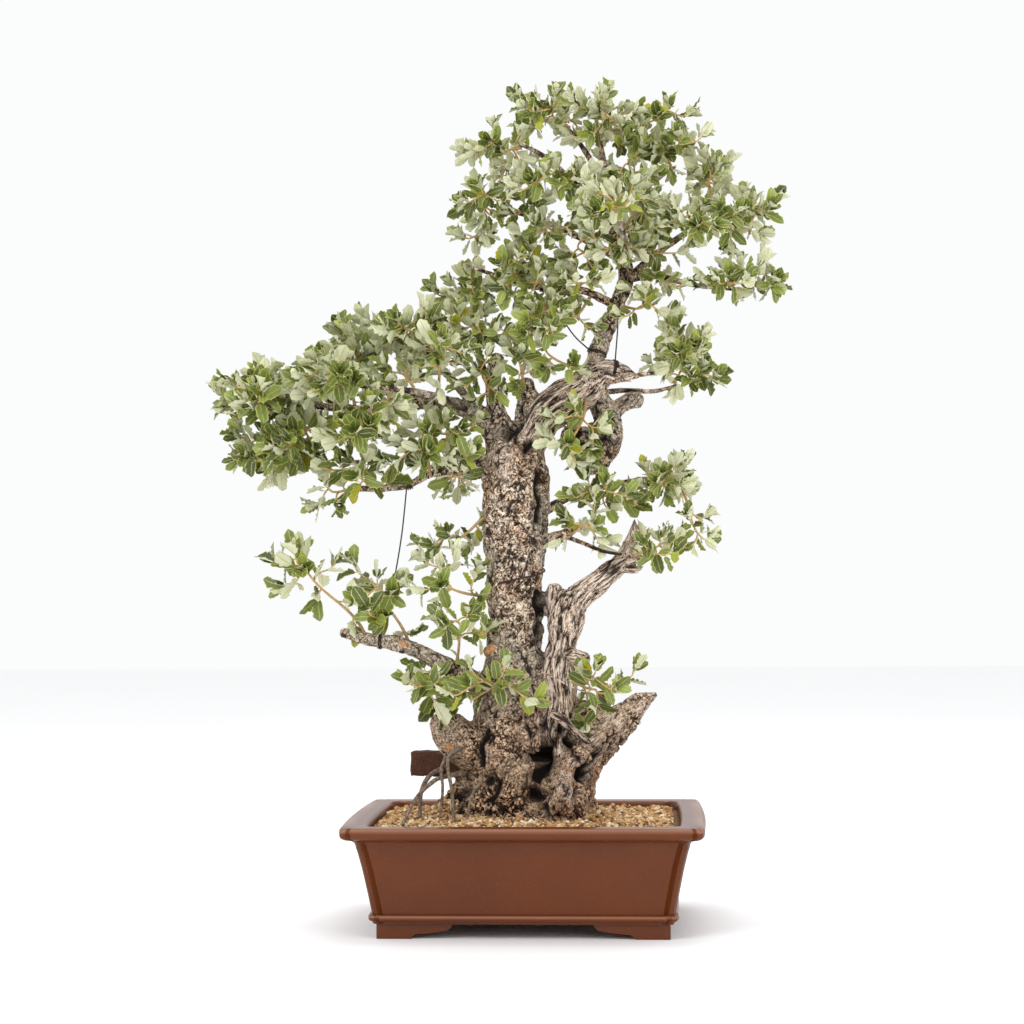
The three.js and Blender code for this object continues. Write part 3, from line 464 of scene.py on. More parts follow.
def grit_finish():
    """Ochre grit from dark to nearly white by the tone of each grain."""
    made, tree, shader, where = start_finish("loose_grit", {"Roughness": 0.95, "Specular IOR Level": 0.2})
    colour = ramp(tree, stored(tree, "tone"), [
        (0.0, linear(62, 44, 30)), (0.12, linear(110, 78, 50)), (0.34, linear(168, 125, 80)),
        (0.6, linear(202, 162, 110)), (0.82, linear(224, 198, 156)), (1.0, linear(242, 231, 210))])
    dust = speckle(tree, where, 700.0, 2.0)
    colour = mix(tree, span(tree, dust, 0.35, 0.7, 0.0, 0.3), colour.outputs[0], linear(186, 150, 110))
    join(tree, colour, shader.inputs["Base Color"])
    join(tree, bump(tree, dust, 0.6, 0.0005), shader.inputs["Normal"])
    return made


def level(tree, where):
    """How high a place on the surface lies, in metres."""
    return add(tree, "ShaderNodeSeparateXYZ", {"Vector": where}).outputs[2]


def warped(tree, where, scale, amount):
    """A place pushed about by noise, so that what lies on it is less regular."""
    push = add(tree, "ShaderNodeTexNoise", {"Vector": where, "Scale": scale, "Detail": 2.0})
    middle = {0: push.outputs["Color"], 1: (0.5, 0.5, 0.5)}
    push = add(tree, "ShaderNodeVectorMath", middle, operation="SUBTRACT")
    push = add(tree, "ShaderNodeVectorMath", {0: push, "Scale": amount}, operation="SCALE")
    return add(tree, "ShaderNodeVectorMath", {0: where, 1: push}, operation="ADD").outputs[0]


# How finely the bark's flakes and the flecks on them are laid.
FLAKE_SCALE, FINE_FLAKE_SCALE = 185.0, 420.0


def bark_colour(tree, where, settings):
    """The colour of cracked grey brown bark with pale flakes, and its height."""
    bent = warped(tree, where, 90.0, 0.012)
    flake_edge = cells(tree, bent, FLAKE_SCALE, "DISTANCE_TO_EDGE")
    flake_tone = cells(tree, bent, FLAKE_SCALE, output="Color")
    scale_tone = cells(tree, bent, FINE_FLAKE_SCALE, output="Color")
    patches = speckle(tree, where, 18.0, 4.0, 0.6)
    grain = speckle(tree, bent, 520.0, 4.0, 0.75)
    broad = add(tree, "ShaderNodeSeparateColor", {"Color": flake_tone}).outputs[0]
    fine = add(tree, "ShaderNodeSeparateColor", {"Color": scale_tone}).outputs[1]
    tone = plus(tree, times(tree, broad, 0.2), times(tree, fine, 0.38))
    tone = plus(tree, tone, span(tree, grain, 0.25, 0.75, 0.0, 0.48))
    contrast = span(tree, level(tree, where), 0.2, 0.32, 1.6, 1.0)
    tone = plus(tree, times(tree, sums(tree, "SUBTRACT", tone, 0.5), contrast), 0.5)
    colour = ramp(tree, tone, [
        (0.31, linear(36, 24, 16)), (0.42, linear(106, 84, 66)), (0.5, linear(174, 153, 132)),
        (0.58, linear(214, 200, 181)), (0.68, linear(250, 243, 231))]).outputs[0]
    warm = span(tree, speckle(tree, where, 30.0, 4.0), 0.5, 0.64, 0.0, 0.55)
    colour = mix(tree, warm, colour, tuple(settings.bark_warm), "MULTIPLY")
    low = span(tree, level(tree, where), 0.15, 0.32, 0.9, 0.0)
    low = times(tree, low, span(tree, tone, 0.56, 0.66, 1.0, 0.1))
    colour = mix(tree, low, colour, linear(172, 128, 96), "MULTIPLY")
    crust = times(tree, span(tree, patches, 0.48, 0.57), span(tree, grain, 0.4, 0.55))
    colour = mix(tree, times(tree, crust, 0.75), colour, tuple(settings.lichen))
    # Cracks darkened nearly to black: partly the bark's own dark inside, partly painted shade in them.
    gap = span(tree, flake_edge, 0.0, 0.09, 0.25, 1.0)
    crack = times(tree, gap, span(tree, stored(tree, "crack"), 0.27, 0.8, 1.0, 0.05))
    colour = mix(tree, crack, linear(32, 23, 17), colour)
    return colour, plus(tree, times(tree, crack, 0.5), times(tree, tone, 0.7))


def dead_colour(tree):
    """The colour of bleached wood with grooves along its grain darkened, partly in their own colour and
    partly as painted shade, and its height.
    """
    grain = stored(tree, "grain", "Vector")
    fibre = speckle(tree, grain, 14.0, 4.0, 0.7)
    streak = speckle(tree, grain, 4.0, 3.0, 0.6)
    tone = plus(tree, span(tree, fibre, 0.3, 0.7, 0.0, 0.5), span(tree, streak, 0.3, 0.7, 0.0, 0.5))
    colour = ramp(tree, tone, [
        (0.34, linear(32, 20, 13)), (0.42, linear(130, 102, 84)), (0.48, linear(206, 180, 160)),
        (0.54, linear(242, 226, 211)), (0.62, linear(254, 250, 244))]).outputs[0]
    # Grooves darkened nearly to black: partly their own colour, partly painted shade.
    groove = span(tree, stored(tree, "crack"), 0.26, 0.82, 0.0, 0.95)
    return mix(tree, groove, colour, linear(36, 24, 17)), tone


def wood_finish(settings):
    """All of the wood: bark and bare wood, with cuts, sawn wood, roots and painted shade in hollows over
    them.
    """
    made, tree, shader, where = start_finish("old_wood", {"Roughness": 0.88, "Specular IOR Level": 0.25})
    bark, bark_height = bark_colour(tree, where, settings)
    dead, dead_height = dead_colour(tree)
    bare = stored(tree, "bare")
    colour = mix(tree, bare, bark, dead)
    colour = mix(tree, 1.0, colour, linear(255, 245, 235), "MULTIPLY")
    low = span(tree, level(tree, where), 0.18, 0.32, 1.0, 0.0)
    low = times(tree, low, span(tree, bare, 0.3, 0.9, 1.0, 0.15))
    colour = mix(tree, low, colour, linear(244, 226, 208), "MULTIPLY")
    rings = span(tree, speckle(tree, where, 260.0, 2.0), 0.35, 0.65)
    saw_marks = span(tree, speckle(tree, stored(tree, "grain", "Vector"), 26.0, 3.0), 0.35, 0.65)
    for mark, fleck, dark, light in (
            ("cut", rings, linear(176, 106, 60), linear(222, 178, 130)),
            ("sawn", saw_marks, linear(38, 22, 16), linear(112, 74, 56)),
            ("root", rings, linear(96, 78, 64), linear(160, 142, 122))):
        colour = mix(tree, stored(tree, mark), colour, mix(tree, fleck, dark, light))
    # Painted shade, near black, in the hollows and fissures of the wood.
    colour = mix(tree, stored(tree, "hollow"), colour, linear(26, 19, 16))
    join(tree, colour, shader.inputs["Base Color"])
    height = add(tree, "ShaderNodeMix", {"Factor": bare}, data_type="FLOAT")
    join(tree, bark_height, height.inputs[2])
    join(tree, dead_height, height.inputs[3])
    join(tree, bump(tree, height.outputs[0], 0.9, 0.0016), shader.inputs["Normal"])
    return made


def leaf_veins(tree):
    """How far out from the midrib a place on a leaf lies, and how far off its nearest side vein."""
    side = sums(tree, "ABSOLUTE", stored(tree, "across"))
    fork = sums(tree, "SUBTRACT", times(tree, stored(tree, "along"), 7.0), times(tree, side, 1.6))
    return side, sums(tree, "PINGPONG", fork, 0.5)


def leaf_top_finish(settings):
    """The dark to yellow green gloss of a leaf's top, with pale veins and edge."""
    made, tree, shader, where = start_finish("leaf_top", {"Specular IOR Level": 0.55})
    side, vein = leaf_veins(tree)
    cloud = speckle(tree, where, 160.0, 2.0)
    tone = plus(tree, stored(tree, "tone"), span(tree, cloud, 0.3, 0.7, -0.08, 0.08))
    # The bright yellow green end of the ramp is partly yellowing and partly painted light shining through
    # the leaf.
    colour = ramp(tree, tone, [
        (0.0, tuple(settings.leaf_dark)), (0.5, tuple(settings.leaf_green)),
        (0.8, linear(146, 162, 74)), (0.94, linear(166, 174, 52)), (1.0, linear(186, 176, 36))]).outputs[0]
    for place in (span(tree, vein, 0.0, 0.1, 0.2, 0.0), span(tree, side, 0.02, 0.1, 0.6, 0.0),
                  span(tree, side, 0.8, 0.96, 0.0, 0.9)):
        colour = mix(tree, place, colour, tuple(settings.leaf_vein))
    join(tree, colour, shader.inputs["Base Color"])
    join(tree, span(tree, cloud, 0.3, 0.7, 0.3, 0.48), shader.inputs["Roughness"])
    quilt = plus(tree, span(tree, vein, 0.0, 0.25), times(tree, cloud, 0.4))
    join(tree, bump(tree, quilt, 0.5, 0.0005), shader.inputs["Normal"])
    return made


def leaf_back_finish(settings):
    """The pale felt of a leaf's back, with its veins standing out."""
    made, tree, shader, where = start_finish("leaf_back", {
        "Roughness": 0.82, "Specular IOR Level": 0.25, "Sheen Weight": 0.15})
    side, vein = leaf_veins(tree)
    felt = speckle(tree, where, 900.0, 2.0)
    colour = mix(tree, stored(tree, "tone"), linear(221, 224, 187), linear(184, 191, 140))
    colour = mix(tree, span(tree, felt, 0.35, 0.65, 0.0, 0.5), colour, tuple(settings.leaf_felt))
    colour = mix(tree, span(tree, vein, 0.0, 0.1, 0.25, 0.0), colour, linear(150, 158, 104))
    colour = mix(tree, span(tree, side, 0.03, 0.12, 0.7, 0.0), colour, linear(182, 172, 96))
    colour = mix(tree, span(tree, side, 0.88, 1.0, 0.0, 0.7), colour, linear(178, 170, 88))
    join(tree, colour, shader.inputs["Base Color"])
    join(tree, bump(tree, felt, 0.3, 0.0003), shader.inputs["Normal"])
    return made


def twig_finish():
    """Grey brown bark of old twigs that turns ochre on young ones."""
    made, tree, shader, where = start_finish("twig_bark", {"Roughness": 0.75})
    fleck = speckle(tree, where, 380.0, 2.0)
    dapple = span(tree, fleck, 0.35, 0.65)
    old = mix(tree, dapple, linear(96, 74, 58), linear(156, 126, 98))
    fresh = mix(tree, dapple, linear(212, 170, 98), linear(236, 204, 138))
    join(tree, mix(tree, stored(tree, "tone"), old, fresh), shader.inputs["Base Color"])
    join(tree, bump(tree, fleck, 0.4, 0.0004), shader.inputs["Normal"])
    return made


def wire_finish():
    """Dark dull wire."""
    made, tree, shader, where = start_finish("dark_wire", {"Metallic": 0.5})
    dull = speckle(tree, where, 220.0, 2.0)
    colour = mix(tree, span(tree, dull, 0.35, 0.65), linear(38, 30, 30), linear(72, 56, 52))
    join(tree, colour, shader.inputs["Base Color"])
    join(tree, span(tree, dull, 0.3, 0.7, 0.4, 0.62), shader.inputs["Roughness"])
    return made


def floor_finish():
    """The plain pale floor of the stage."""
    made, tree, shader, where = start_finish("pale_floor", {"Roughness": 0.9, "Specular IOR Level": 0.1})
    colour = mix(tree, speckle(tree, where, 1.5, 2.0), linear(248, 248, 249), linear(251, 251, 251))
    join(tree, colour, shader.inputs["Base Color"])
    return made


# The pot

FOOT_TOP = 17.0
POT_FLOOR_TOP = 29.0
# How much more half the width of the pot is than half its depth.
WIDER = 40
RIM_HALF = POT_DEPTH / 2 + WIDER
# How far the sides are bowed out at the rim, at the foot and inside.
RIM_BOW, FOOT_BOW, INNER_BOW = 5.0, 1.5, 3.0
CORNER_BEAD, CORNER_GROOVE, INNER_CORNER = 14.0, 3.5, 20.0
SIDE_POINTS, CORNER_POINTS = 14, 19
DRAIN_X, DRAIN_RADIUS, DRAIN_REACH = 90, 15, (5, 45)
# Each foot has a longer arm along the front and a shorter one along the side.
FRONT_ARM, SIDE_ARM, ARM_THICK = 89, 74, 26
FOOT_HALF_X, FOOT_HALF_Y = 171, 131


def corner_outline(beaded):
    """How far a corner stands in from the full square along x and y, from the front to the side."""
    if not beaded:
        angles = np.linspace(0, math.pi / 2, CORNER_POINTS)
        return np.stack([INNER_CORNER * (1 - np.sin(angles)), INNER_CORNER * (1 - np.cos(angles))], 1)
    half = CORNER_BEAD / 2
    dip = [(CORNER_BEAD, 0.0), (CORNER_BEAD - 0.8, 1.2), (CORNER_BEAD - 1.8, 2.7),
           (CORNER_BEAD - 3, CORNER_GROOVE), (CORNER_BEAD - 4.4, 2.8)]
    bead = [(half - (half - 0.7) * math.sin(a), half - (half - 0.7) * math.cos(a))
            for a in np.linspace(-0.1, math.pi / 2 + 0.1, 9)]
    back = [(y, x) for x, y in reversed(dip)]
    return np.array([*dip, *bead, *back])


def pot_ring(half_x, z, beaded):
    """One level of the pot, its sides bowed outwards a little."""
    half_y = half_x - WIDER
    corner = corner_outline(beaded)
    risen = (z - FOOT_TOP) / (POT_HEIGHT - FOOT_TOP)
    bow = FOOT_BOW + (RIM_BOW - FOOT_BOW) * risen if beaded else INNER_BOW
    shares = np.linspace(-1, 1, SIDE_POINTS)[1:-1]
    reach_x, reach_y = half_x - corner[0][0], half_y - corner[-1][1]
    along_front = [(reach_x * s, -half_y) for s in shares]
    along_side = [(half_x, reach_y * s) for s in shares]
    quarter = [(half_x - x, -half_y + y) for x, y in corner]
    flat = along_front + quarter + along_side + [(x, -y) for x, y in reversed(quarter)]
    flat += [(-x, -y) for x, y in along_front] + [(-x, -y) for x, y in quarter]
    flat += [(-x, -y) for x, y in along_side] + [(-x, y) for x, y in reversed(quarter)]
    ring = []
    for x, y in flat:
        side_share = max(0.0, 1 - (y / half_y) ** 2)
        ring.append((x + math.copysign(bow * side_share, x) * min(1.0, (abs(x) / half_x) ** 6), y, z))
    return ring


def arc(centre, radius, start, end, count):
    """Points of an arc as half width and height, its angles in degrees from outwards, turning up."""
    return [(centre[0] + radius * math.cos(math.radians(a)), centre[1] + radius * math.sin(math.radians(a)))
            for a in np.linspace(start, end, count)]


def pot_profile():
    """The pot's outside and inside as half widths and heights, from its underside round the rim."""
    top = POT_HEIGHT
    outside = [(160, FOOT_TOP), (172, FOOT_TOP), (175.5, FOOT_TOP + 0.8), (176.4, FOOT_TOP + 3)]
    outside += arc((176.4, 25), 4.2, -88, 88, 9)
    outside += [(176.9, 31), (179.4, 45), (183, 64), (187, 84), (191, 101), (193, 108)]
    outside += arc((202, 108), 9, 172, 100, 6)
    outside += [(204.5, 117.6)]
    outside += [(206.8, top - 13.2), (208.6, top - 12), (RIM_HALF - 0.3, top - 9.8), (RIM_HALF, top - 6.5),
                (RIM_HALF - 0.1, top - 3.6), (RIM_HALF - 0.9, top - 1.5), (RIM_HALF - 2.6, top - 0.3),
                (RIM_HALF - 5, top)]
    inside = [(RIM_HALF - 15, top - 0.4), (RIM_HALF - 23, top), (RIM_HALF - 25.5, top - 0.5),
              (RIM_HALF - 27, top - 2.2), (RIM_HALF - 28, top - 6), (180, 116), (174, 75),
              (164.5, POT_FLOOR_TOP)]
    return outside, inside


def foot_outline(length):
    """A foot's arm seen from the front: a flat sole, then a curl up to the underside of the pot."""
    sole = length * 0.46
    points = [(0, 0), (sole, 0)]
    points += [(sole + length * 0.11 * (1 - math.cos(a)), FOOT_TOP * 0.34 * math.sin(a))
               for a in np.linspace(0.3, math.pi / 2, 5)]
    points += [(sole + length * (0.11 + 0.3 * t), FOOT_TOP * (0.34 + 0.2 * t ** 1.6))
               for t in (0.35, 0.7, 1)]
    points += [(sole + length * (0.41 + 0.13 * math.sin(a)), FOOT_TOP * (1.02 - 0.48 * math.cos(a)))
               for a in np.linspace(0.3, math.pi / 2, 5)]
    return points + [(0, FOOT_TOP + 1)]


def foot_arm(length, side, front, along_x):
    """One arm of a corner foot as a closed bar, its face flush with the corner."""
    outline = foot_outline(length)
    rings = []
    for depth in (0.0, 1.0, ARM_THICK - 1, ARM_THICK):
        shrink = 0.6 if depth in (0.0, ARM_THICK) else 0.0
        ring = []
        for run, z in outline:
            z = min(max(z, shrink), FOOT_TOP + 1)
            run = max(run, shrink) if run else shrink
            in_x, in_y = (run, depth) if along_x else (depth, run)
            height = z if z > shrink else 0.0
            ring.append((side * (FOOT_HALF_X - in_x), front * (FOOT_HALF_Y - in_y), height))
        rings.append(ring)
    points = np.array(rings).reshape(-1, 3)
    return points, cut_faces(len(outline), len(rings))


def turned_out(made):
    """Turns a mesh's faces to point outwards."""
    kit = bmesh.new()
    kit.from_mesh(made.data)
    bmesh.ops.recalc_face_normals(kit, faces=kit.faces)
    kit.to_mesh(made.data)
    kit.free()
    return made


def combine(made, other, operation):
    """Joins or cuts one closed piece with another, which is then removed."""
    step = made.modifiers.new("combine", "BOOLEAN")
    step.operation = operation
    step.object = other
    step.solver = "EXACT"
    bake_modifiers(made)
    discard(other)


def take_in(made, other):
    """Puts another piece's mesh beside the first one's in the same piece."""
    kit = bmesh.new()
    kit.from_mesh(made.data)
    kit.from_mesh(other.data)
    kit.to_mesh(made.data)
    kit.free()
    discard(other)


def bake_modifiers(made):
    """Swaps a piece's mesh for what its modifiers make of it."""
    graph = bpy.context.evaluated_depsgraph_get()
    graph.update()
    result = bpy.data.meshes.new_from_object(made.evaluated_get(graph))
    old = made.data
    made.modifiers.clear()
    made.data = result
    bpy.data.meshes.remove(old)
    result.name = made.name


def make_pot(settings):
    """The hollow pot with its drain holes and its four corner feet."""
    outside, inside = pot_profile()
    rings = [pot_ring(half, z, True) for half, z in outside]
    rings += [pot_ring(half, z, False) for half, z in inside]
    points = np.array(rings).reshape(-1, 3)
    body = turned_out(new_object("clay_pot", points, cut_faces(len(rings[0]), len(rings))))
    for side in (-1, 1):
        path = np.array([(side * DRAIN_X, 0, z) for z in DRAIN_REACH], float)
        drain = turned_out(new_object("drain", *tube(path, [DRAIN_RADIUS] * 2, 32)))
        combine(body, drain, "DIFFERENCE")
    for side in (-1, 1):
        for front in (-1, 1):
            foot = turned_out(new_object("foot", *foot_arm(FRONT_ARM, side, front, True)))
            arm = turned_out(new_object("arm", *foot_arm(SIDE_ARM, side, front, False)))
            combine(foot, arm, "UNION")
            take_in(body, foot)
    store(body.data, "wear_and_highlight", rubbed_and_highlit_edges(corner_places(body.data)))
    finish_piece(body, [clay_finish(settings)], ["pot"])
    body.data.set_sharp_from_angle(angle=math.radians(35))


def rubbed_and_highlit_edges(places):
    """How much paler the clay is, partly from rubbing and partly from a painted highlight: most on the
    outer and inner edges of the rim and on the belt's crest.
    """
    x, y, z = np.abs(places[:, 0]), np.abs(places[:, 1]), places[:, 2]
    reach = np.maximum(x - RIM_HALF, y - (RIM_HALF - WIDER))
    rim = np.clip(1 - np.abs(reach + 1.5) / 2.5, 0, 1) * (z > POT_HEIGHT - 5)
    lip = np.clip(1 - np.abs(reach + 26) / 2, 0, 1) * (z > POT_HEIGHT - 3)
    belt = np.clip(1 - np.abs(z - 26.5) / 2, 0, 1) * 0.8
    return np.maximum(np.maximum(rim, lip), belt)


# The soil

SOIL_EDGE, SOIL_MOUND, SOIL_MOUND_RADIUS = 125.0, 9.0, 115.0
BURL_MOUND, BURL_MOUND_RADIUS, BURL_X, BURL_Y = 20, 34, -92, -4
SOIL_HALF_TOP, SOIL_HALF_FOOT, SOIL_CORNER = 181.3, 164.2, 20
# How far the bed lies under the level that the grains bring it to.
GRAIN_COVER = 2.5
GRAIN_SIZES, GRAIN_SHARES = (1.5, 2.1, 2.7, 3.4, 4.3), (0.2, 0.3, 0.28, 0.16, 0.06)
ROW_SHARE = 0.87
TRUNK_Y, TRUNK_CLEAR = 3.0, 44


def soil_height(x, y):
    """The level of the soil, which rises a little to the trunk and more under the burl."""
    middle = (x * x + y * y) / SOIL_MOUND_RADIUS ** 2
    under_burl = ((x - BURL_X) ** 2 + (y - BURL_Y) ** 2) / BURL_MOUND_RADIUS ** 2
    return SOIL_EDGE + SOIL_MOUND * np.exp(-middle) + BURL_MOUND * np.exp(-under_burl)


def make_soil(settings):
    """The bed of soil in the pot, and the grains on it."""
    draw = np.random.default_rng(21)
    edge = np.array(pot_ring(SOIL_HALF_TOP, SOIL_EDGE, False))
    rings = [np.array(pot_ring(SOIL_HALF_FOOT, POT_FLOOR_TOP + 0.4, False)), edge - (0, 0, GRAIN_COVER)]
    for share in np.linspace(1, 0.02, 36)[1:]:
        ring = edge * (share, share, 1)
        unevenness = 0.9 * draw.uniform(-1, 1, len(ring))
        ring[:, 2] = soil_height(ring[:, 0], ring[:, 1]) - GRAIN_COVER + unevenness
        rings.append(ring)
    points = np.array(rings).reshape(-1, 3)
    bed = turned_out(new_object("soil_bed", points, cut_faces(len(edge), len(rings))))
    # The bed gets only the darkest tones of the grit: painted shade in the gaps between the grains.
    store(bed.data, "tone", draw.uniform(0.0, 0.16, len(bed.data.vertices)))
    finish = grit_finish()
    finish_piece(bed, [finish], ["soil"])
    make_grains(settings, finish)


def make_grains(settings, finish):
    """Loose grains that cover the soil, each a rough lump with its own tone."""
    draw = np.random.default_rng(22)
    kit = bmesh.new()
    bmesh.ops.create_icosphere(kit, subdivisions=1, radius=1.0)
    ball = np.array([v.co[:] for v in kit.verts])
    ball_faces = np.array([[v.index for v in f.verts] for f in kit.faces])
    kit.free()
    half_x, half_y = SOIL_HALF_TOP - 1, SOIL_HALF_TOP - 1 - WIDER
    gap = settings.grain_gap
    columns, rows = int(2 * half_x / gap), int(2 * half_y / (gap * ROW_SHARE))
    points, faces, tones = [], [], []
    for row in range(rows):
        for column in range(columns):
            x = -half_x + (column + 0.5 * (row % 2)) * gap + draw.uniform(-0.9, 0.9)
            y = -half_y + row * gap * ROW_SHARE + draw.uniform(-0.9, 0.9)
            size = draw.choice(GRAIN_SIZES, p=GRAIN_SHARES)
            corner_x = max(0.0, abs(x) - half_x + SOIL_CORNER)
            corner_y = max(0.0, abs(y) - half_y + SOIL_CORNER)
            past_corner = corner_x ** 2 + corner_y ** 2 > (SOIL_CORNER - size) ** 2
            if past_corner or x ** 2 + (y - TRUNK_Y) ** 2 < TRUNK_CLEAR ** 2:
                continue
            squash = draw.uniform(0.65, 1.1, 3)
            lump = ball * squash * (1 + draw.uniform(-0.22, 0.22, (len(ball), 1)))
            angle = draw.uniform(0, 6.3)
            turn = np.array(Matrix.Rotation(angle, 3, Vector(draw.normal(size=3)).normalized()))
            z = soil_height(x, y) - 1.9 + draw.uniform(-0.9, 1.3) + size * 0.25
            faces.append(ball_faces + len(points) * len(ball))
            points.append(lump @ turn.T * size + (x, y, z))
            tones.append(np.full(len(ball), np.clip(draw.normal(0.5, 0.3), 0.0, 1.0)))
    made = new_object("soil_grains", np.concatenate(points), [np.concatenate(faces)])
    store(made.data, "tone", np.concatenate(tones))
    finish_piece(made, [finish])
    made.data.shade_flat()


# The wood

# Marks on the front of the wood, each placed by its x and z.
SHADED_HOLLOWS = [
    # x, z of a dent painted near black as shade, how wide it is and how deep it goes
    (21, 203, 13, 24), (29, 222, 10, 18), (42, 234, 9, 16), (54, 222, 8, 14), (9, 163, 9, 17),
    (58, 205, 8, 10), (-20, 601, 12, 17), (3, 580, 10, 8), (-7, 638, 8, 7), (74, 602, 20, 9),
    (98, 588, 12, 9), (66, 574, 14, 6), (73, 178, 8, 9), (-46, 176, 11, 9), (-82, 152, 15, 4),
]
SHADED_FISSURES = [
    # a crack from one x, z to the next, dented and painted near black as shade, its width and depth
    ((-6, 640), (-12, 586), 4.0, 8.0), ((17, 545), (18, 486), 5.0, 8.0), ((16, 400), (20, 334), 6.0, 8.0),
    ((62, 160), (84, 206), 5.0, 7.0), ((2, 246), (15, 214), 5.0, 8.0), ((-40, 150), (-34, 176), 6.0, 7.0),
    ((-50, 236), (-58, 196), 5.0, 6.0), ((18, 150), (24, 140), 7.0, 9.0), ((20, 178), (24, 214), 8.0, 20.0),
    ((64, 186), (70, 166), 5.0, 9.0),
]
# x, z and radius of cut ends that show fresh wood, and of places where the bark is worn off.
CUT_ENDS = [(-44, 331, 7.5), (-92, 213, 6.0), (-147, 340, 5.0), (64, 480, 4.0)]
WORN_MARKS = [(46, 168, 20), (34, 244, 12), (66, 196, 11), (104, 250, 16), (-30, 560, 14), (28, 610, 14)]

# Thin limbs are made finer than the radii in their courses, by this share.
THIN_SHARE = 0.72
HEAVY_STEP, HEAVY_AROUND = 4.0, 28
THIN_STEP, THIN_AROUND = 5.0, 10
# Millimetres across and along the grain for each step of the noise that lies in it.
GRAIN_SCALE = (7.5, 7.5, 75)
# The sawn root is bare from here outwards, and no relief reaches below the soil.
SAWN_FROM_X, RELIEF_FROM_Z, RELIEF_FADE = -70, 118, 14
# Without a seed, Blender's noise vectors start anywhere and the bark comes out otherwise each time.
BARK_SEED = 11


def lookup_samples():
    """Points along every heavy limb with what is needed to unroll the wood round them."""
    centres, radii, kinds, alongs, axes = [], [], [], [], []
    for kind, course in HEAVY_LIMBS.values():
        path, width = smooth_path(course, HEAVY_STEP)
        tangents, sides, overs = frames_along(path)
        centres.append(path)
        radii.append(width)
        kinds.append(np.full(len(path), KINDS.index(kind)))
        alongs.append(run_along(path))
        axes.append(np.stack([tangents, sides, overs], axis=1))
    return (np.concatenate(centres), np.concatenate(radii), np.concatenate(kinds),
            np.concatenate(alongs), np.concatenate(axes))


def nearest_samples(points, centres, radii):
    """For each point, which sample of the limbs it lies nearest to, measured from the limb's surface."""
    found = np.zeros(len(points), int)
    batch = 4000
    for start in range(0, len(points), batch):
        part = points[start:start + batch]
        gap = np.linalg.norm(part[:, None, :] - centres[None, :, :], axis=2) - radii[None, :]
        found[start:start + batch] = gap.argmin(axis=1)
    return found


def spread_over(values, edges, rounds):
    """Evens out a number kept at each corner of a mesh with its neighbours."""
    count = np.bincount(edges.ravel(), minlength=len(values)).clip(1)
    for _ in range(rounds):
        total = np.bincount(edges[:, 0], values[edges[:, 1]], len(values))
        total += np.bincount(edges[:, 1], values[edges[:, 0]], len(values))
        values = 0.4 * values + 0.6 * total / count
    return values


def bark_relief(place, depth):
    """Height of cracked bark at a place in millimetres, and how deep in a crack it lies."""
    warp = noise.noise_vector(place / 13) * 0.55
    far, seeds = noise.voronoi(Vector((place.x, place.y, place.z * 0.66)) / 9.5 + warp)
    crack = 1 - min(1.0, max(0.0, (far[1] - far[0] - 0.02) / 0.2))
    crack *= min(1.0, max(0.0, 0.75 + noise.noise(place / 19) * 1.6))
    plate = noise.cell(seeds[0] * 7.3)
    rough = 1 + min(1.0, max(0.0, 270 - place.z) / 60)
    lump = noise.noise(place / 28) * 3.2 * rough + noise.noise(place / 12 + Vector((9, 3, 5))) * 1.3 * rough
    depth *= rough ** 1.3
    return lump + (0.5 * plate - crack) * depth, crack


def dead_relief(grain, place):
    """Height of bare wood at a place, from the course of its grain, and how deep in a groove it lies."""
    wide = noise.noise(grain)
    fine = noise.noise(grain * 2.6 + Vector((4, 4, 4)))
    groove = max(0.0, 1 - abs(wide) * 4.5) * 0.9 + max(0.0, 1 - abs(fine) * 4) * 0.4
    lump = noise.noise(place / 26) * 3.0
    return lump - groove * 3.0 + fine * 1.2, min(1.0, groove)


def mark_nearness(points, front, start, end, size):
    """How close points on the front lie to a mark between two places given by x and z."""
    flat, start, end = points[:, (0, 2)], np.array(start, float), np.array(end, float)
    flat = flat + 0.35 * size * np.stack([np.sin(flat[:, 1] / 5.5), np.sin(flat[:, 0] / 4.5 + 1)], axis=1)
    run = end - start
    share = np.clip((flat - start) @ run / max(run @ run, 1e-9), 0, 1)
    gap = np.linalg.norm(flat - start - share[:, None] * run, axis=1)
    return np.exp(-(gap / size) ** 2) * front


def heavy_wood(settings):
    """The trunk and its heavy limbs as one skin, before any relief."""
    bars = []
    for kind, course in HEAVY_LIMBS.values():
        path, radii = smooth_path(course, HEAVY_STEP)
        bars.append(tube(path, radii, 4 if kind == "sawn" else HEAVY_AROUND, kind != "sawn"))
    skin = turned_out(new_object("wood_skin", *merged(bars)))
    step = skin.modifiers.new("skin", "REMESH")
    step.mode = "VOXEL"
    step.voxel_size = settings.skin_step * MM
    bake_modifiers(skin)
    return skin


def skin_arrays(mesh):
    """The corners, normals, edges and four sided faces of a mesh."""
    normals = np.zeros(len(mesh.vertices) * 3)
    mesh.vertex_normals.foreach_get("vector", normals)
    edges = np.zeros(len(mesh.edges) * 2, int)
    mesh.edges.foreach_get("vertices", edges)
    faces = np.zeros(len(mesh.loops), int)
    mesh.loops.foreach_get("vertex_index", faces)
    return corner_places(mesh), normals.reshape(-1, 3), edges.reshape(-1, 2), faces.reshape(-1, 4)


